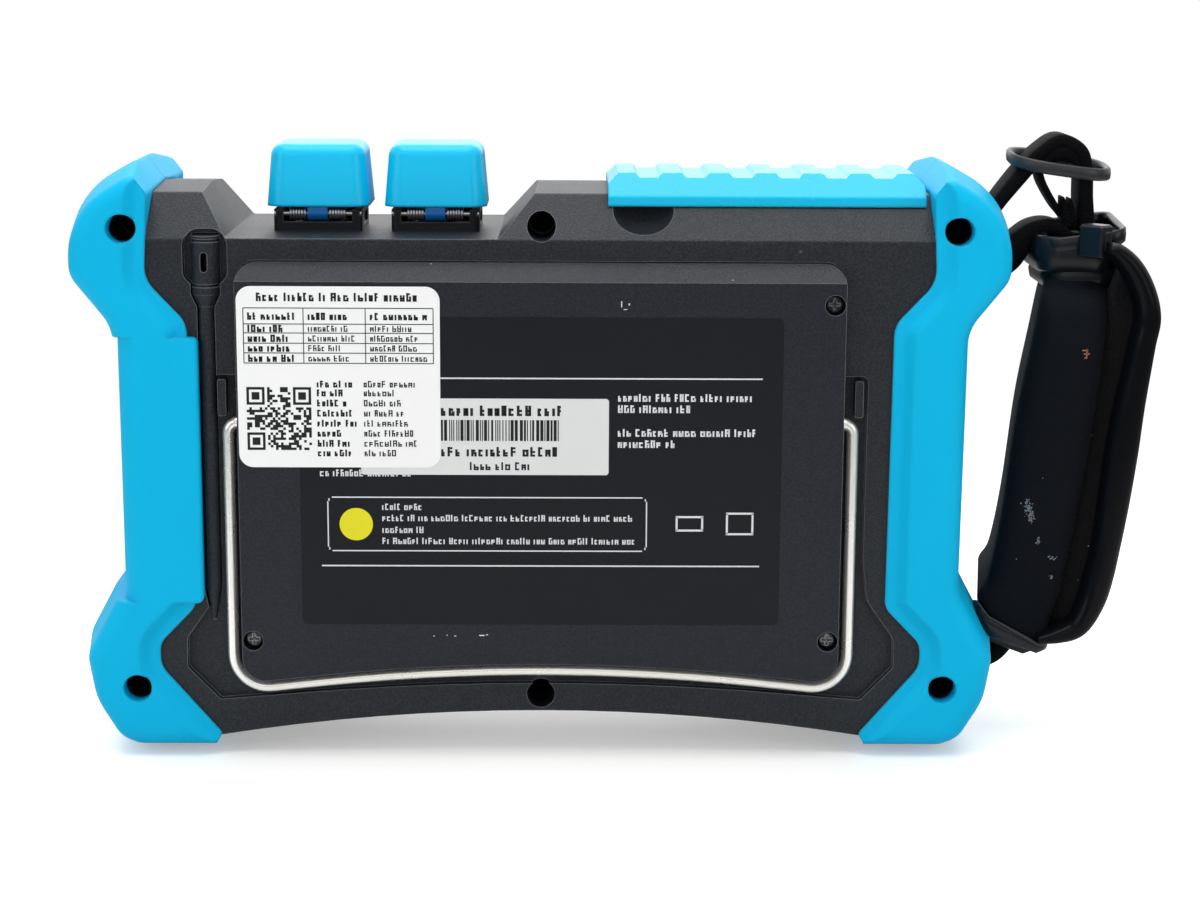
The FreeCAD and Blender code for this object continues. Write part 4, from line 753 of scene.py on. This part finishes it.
def turned_block(name, centre, half, turn, look, radius=0.8):
    """A standing block with soft corners, turned about its own upright line."""
    cos, sin = math.cos(math.radians(turn)), math.sin(math.radians(turn))
    rings = []
    for z, inset in ((-half[2], 0.5), (-half[2] + 0.5, 0.0), (half[2] - 0.5, 0.0), (half[2], 0.5)):
        ring = []
        for a, b in rounded_rectangle(half[0] - inset, half[1] - inset, radius, 4):
            ring.append((centre[0] + a * cos - b * sin, centre[1] + a * sin + b * cos, centre[2] + z))
        rings.append(ring)
    return loft(name, rings, look, smooth=False)


ties.append(turned_block("clamp_head", (138.6, -10.6, 128.9), (3.6, 2.4, 4.2), -45.0, "tie"))
ties.append(turned_block("clamp_slot", (140.9, -12.9, 129.0), (0.6, 1.3, 2.8), -45.0, "trim", 0.3))

# pale scuffs and a brown thread on the pad
SCUFFS = (  # x, z, spread in x, spread in z, how many
    (122.6, 62.6, 0.9, 1.6, 60), (123.6, 60.0, 0.8, 1.6, 60), (125.6, 53.7, 0.6, 1.4, 22),
    (129.5, 49.4, 1.0, 0.8, 16), (129.5, 44.2, 0.5, 0.5, 8), (120.4, 49.0, 0.3, 0.3, 1),
    (126.0, 70.0, 0.3, 0.3, 1))
PAD_FACE = -19.2
scuffs = Print("pad_scuffs", PAD_FACE, "scuff")
dice = random.Random(5)
for x, z, spread_x, spread_z, count in SCUFFS:
    for _ in range(count):
        a, b = x + dice.gauss(0.0, spread_x) * 0.5, z + dice.gauss(0.0, spread_z) * 0.5
        scuffs.disc(a, b, dice.uniform(0.06, 0.22), 6)
marks = scuffs.done()
thread = Print("pad_thread", PAD_FACE, "thread")
thread.bar(134.7, 136.2, 102.4, 102.7)
thread.bar(135.1, 136.6, 101.5, 101.85)
thread.bar(135.3, 136.1, 100.5, 100.8)
thread.bar(135.7, 136.0, 100.6, 102.9)
thread_mark = thread.done()


# ---- light, floor and camera ----
def area(name, place, target, size, power, color=(1.0, 1.0, 1.0), size_y=None):
    data = bpy.data.lights.new(name, "AREA")
    data.energy = power
    data.color = color
    data.shape = "RECTANGLE"
    data.size = size
    data.size_y = size_y or size
    lamp = bpy.data.objects.new(name, data)
    lamp.location = place
    lamp.rotation_euler = (Vector(target) - Vector(place)).to_track_quat("-Z", "Y").to_euler()
    bpy.context.scene.collection.objects.link(lamp)
    return lamp


MIDDLE = (0.0, 0.0, 0.07)
SOFTBOXES = {  # place, size and power
    "top": ((0.0, -0.15, 1.0), 0.8, 6.8),
    "left": ((-0.95, -0.75, 0.5), 0.7, 2.8),
    "right": ((0.95, -0.75, 0.45), 0.7, 2.2),
    "front": ((0.0, -1.35, 0.6), 0.9, 1.9),
    "back": ((0.0, 0.9, 0.7), 1.0, 3.0)}
for name, (place, size, power) in SOFTBOXES.items():
    area("softbox_" + name, place, MIDDLE, size, power)


def ramp_node(tree, value, low, high, top=1.0):
    """A smooth rise from nought at low to top at high."""
    made = add(tree, "ShaderNodeMapRange", interpolation_type="SMOOTHSTEP")
    made.inputs["From Min"].default_value = low
    made.inputs["From Max"].default_value = high
    made.inputs["To Max"].default_value = top
    tree.links.new(value, made.inputs["Value"])
    return made.outputs["Result"]


def studio_world():
    """White to the camera; to the object, a bright wall behind, a paler ceiling and a dim room in front."""
    world = bpy.data.worlds.new("studio")
    bpy.context.scene.world = world
    world.use_nodes = True
    tree = world.node_tree
    tree.nodes.clear()
    way = add(tree, "ShaderNodeTexCoord")
    parts = add(tree, "ShaderNodeSeparateXYZ")
    tree.links.new(way.outputs["Generated"], parts.inputs[0])
    back_wall = ramp_node(tree, parts.outputs["Y"], -0.1, 0.8, 0.85)
    ceiling = math_node(tree, "MULTIPLY", math_node(tree, "MAXIMUM", parts.outputs["Z"], 0.0), 0.42)
    room = math_node(tree, "ADD", math_node(tree, "ADD", ceiling, back_wall), 0.17)
    rays = add(tree, "ShaderNodeLightPath")
    dim = add(tree, "ShaderNodeBackground")
    dim.inputs["Color"].default_value = (1.0, 1.0, 1.0, 1.0)
    tree.links.new(room, dim.inputs["Strength"])
    white = add(tree, "ShaderNodeBackground")
    white.inputs["Color"].default_value = (1.0, 1.0, 1.0, 1.0)
    white.inputs["Strength"].default_value = 1.0
    choose = add(tree, "ShaderNodeMixShader")
    out = add(tree, "ShaderNodeOutputWorld")
    tree.links.new(rays.outputs["Is Camera Ray"], choose.inputs["Fac"])
    tree.links.new(dim.outputs["Background"], choose.inputs[1])
    tree.links.new(white.outputs["Background"], choose.inputs[2])
    tree.links.new(choose.outputs["Shader"], out.inputs["Surface"])


def studio_floor():
    """A pale floor that keeps the near shadow and clears to white further out."""
    half, clear_from, clear_to = 6.0, 0.22, 0.55
    data = bpy.data.meshes.new("floor")
    data.from_pydata([(-half, -half, 0), (half, -half, 0), (half, half, 0), (-half, half, 0)], [], [(0, 1, 2, 3)])
    floor = bpy.data.objects.new("floor", data)
    bpy.context.scene.collection.objects.link(floor)
    look = bpy.data.materials.new("floor_white")
    look.use_nodes = True
    tree = look.node_tree
    shader = tree.nodes["Principled BSDF"]
    shader.inputs["Base Color"].default_value = (0.84, 0.84, 0.825, 1.0)
    shader.inputs["Roughness"].default_value = 0.3
    shader.inputs["Specular IOR Level"].default_value = 0.3
    shader.inputs["Emission Color"].default_value = (1.0, 1.0, 1.0, 1.0)
    rays = add(tree, "ShaderNodeLightPath")
    camera_ray = rays.outputs["Is Camera Ray"]
    tree.links.new(math_node(tree, "MULTIPLY", camera_ray, 0.35), shader.inputs["Emission Strength"])
    place = add(tree, "ShaderNodeTexCoord")
    away = add(tree, "ShaderNodeVectorMath", operation="LENGTH")
    tree.links.new(place.outputs["Object"], away.inputs[0])
    far = ramp_node(tree, away.outputs["Value"], clear_from, clear_to)
    bare = add(tree, "ShaderNodeEmission")
    bare.inputs["Color"].default_value = (1.0, 1.0, 1.0, 1.0)
    tree.links.new(math_node(tree, "MAXIMUM", camera_ray, 0.14), bare.inputs["Strength"])
    seen = math_node(tree, "MAXIMUM", camera_ray, rays.outputs["Is Glossy Ray"])
    blend = add(tree, "ShaderNodeMixShader")
    tree.links.new(math_node(tree, "MULTIPLY", far, seen), blend.inputs["Fac"])
    tree.links.new(shader.outputs["BSDF"], blend.inputs[1])
    tree.links.new(bare.outputs["Emission"], blend.inputs[2])
    tree.links.new(blend.outputs["Shader"], tree.nodes["Material Output"].inputs["Surface"])
    data.materials.append(look)


def place_camera(place, down, yaw, turn, lens):
    """A camera at place, tipped down, yawed to the right and turned about its own axis, in degrees."""
    scene = bpy.context.scene
    data = bpy.data.cameras.new("camera")
    data.lens = lens
    data.sensor_width = 36.0
    data.clip_start = 0.01
    camera = bpy.data.objects.new("camera", data)
    scene.collection.objects.link(camera)
    scene.camera = camera
    down, yaw, turn = (math.radians(a) for a in (down, yaw, turn))
    ahead = Vector((math.sin(yaw) * math.cos(down), math.cos(yaw) * math.cos(down), -math.sin(down)))
    level = ahead.cross(Vector((0, 0, 1))).normalized()
    above = level.cross(ahead)
    right = level * math.cos(turn) + above * math.sin(turn)
    up = above * math.cos(turn) - level * math.sin(turn)
    camera.matrix_world = Matrix.Translation(mm(*place)) @ Matrix((right, up, -ahead)).transposed().to_4x4()


studio_world()
studio_floor()
bpy.context.scene.view_settings.view_transform = "Standard"
place_camera((6.464, -620.827, 199.284), down=11.5, yaw=0.78, turn=0.33, lens=73.5)
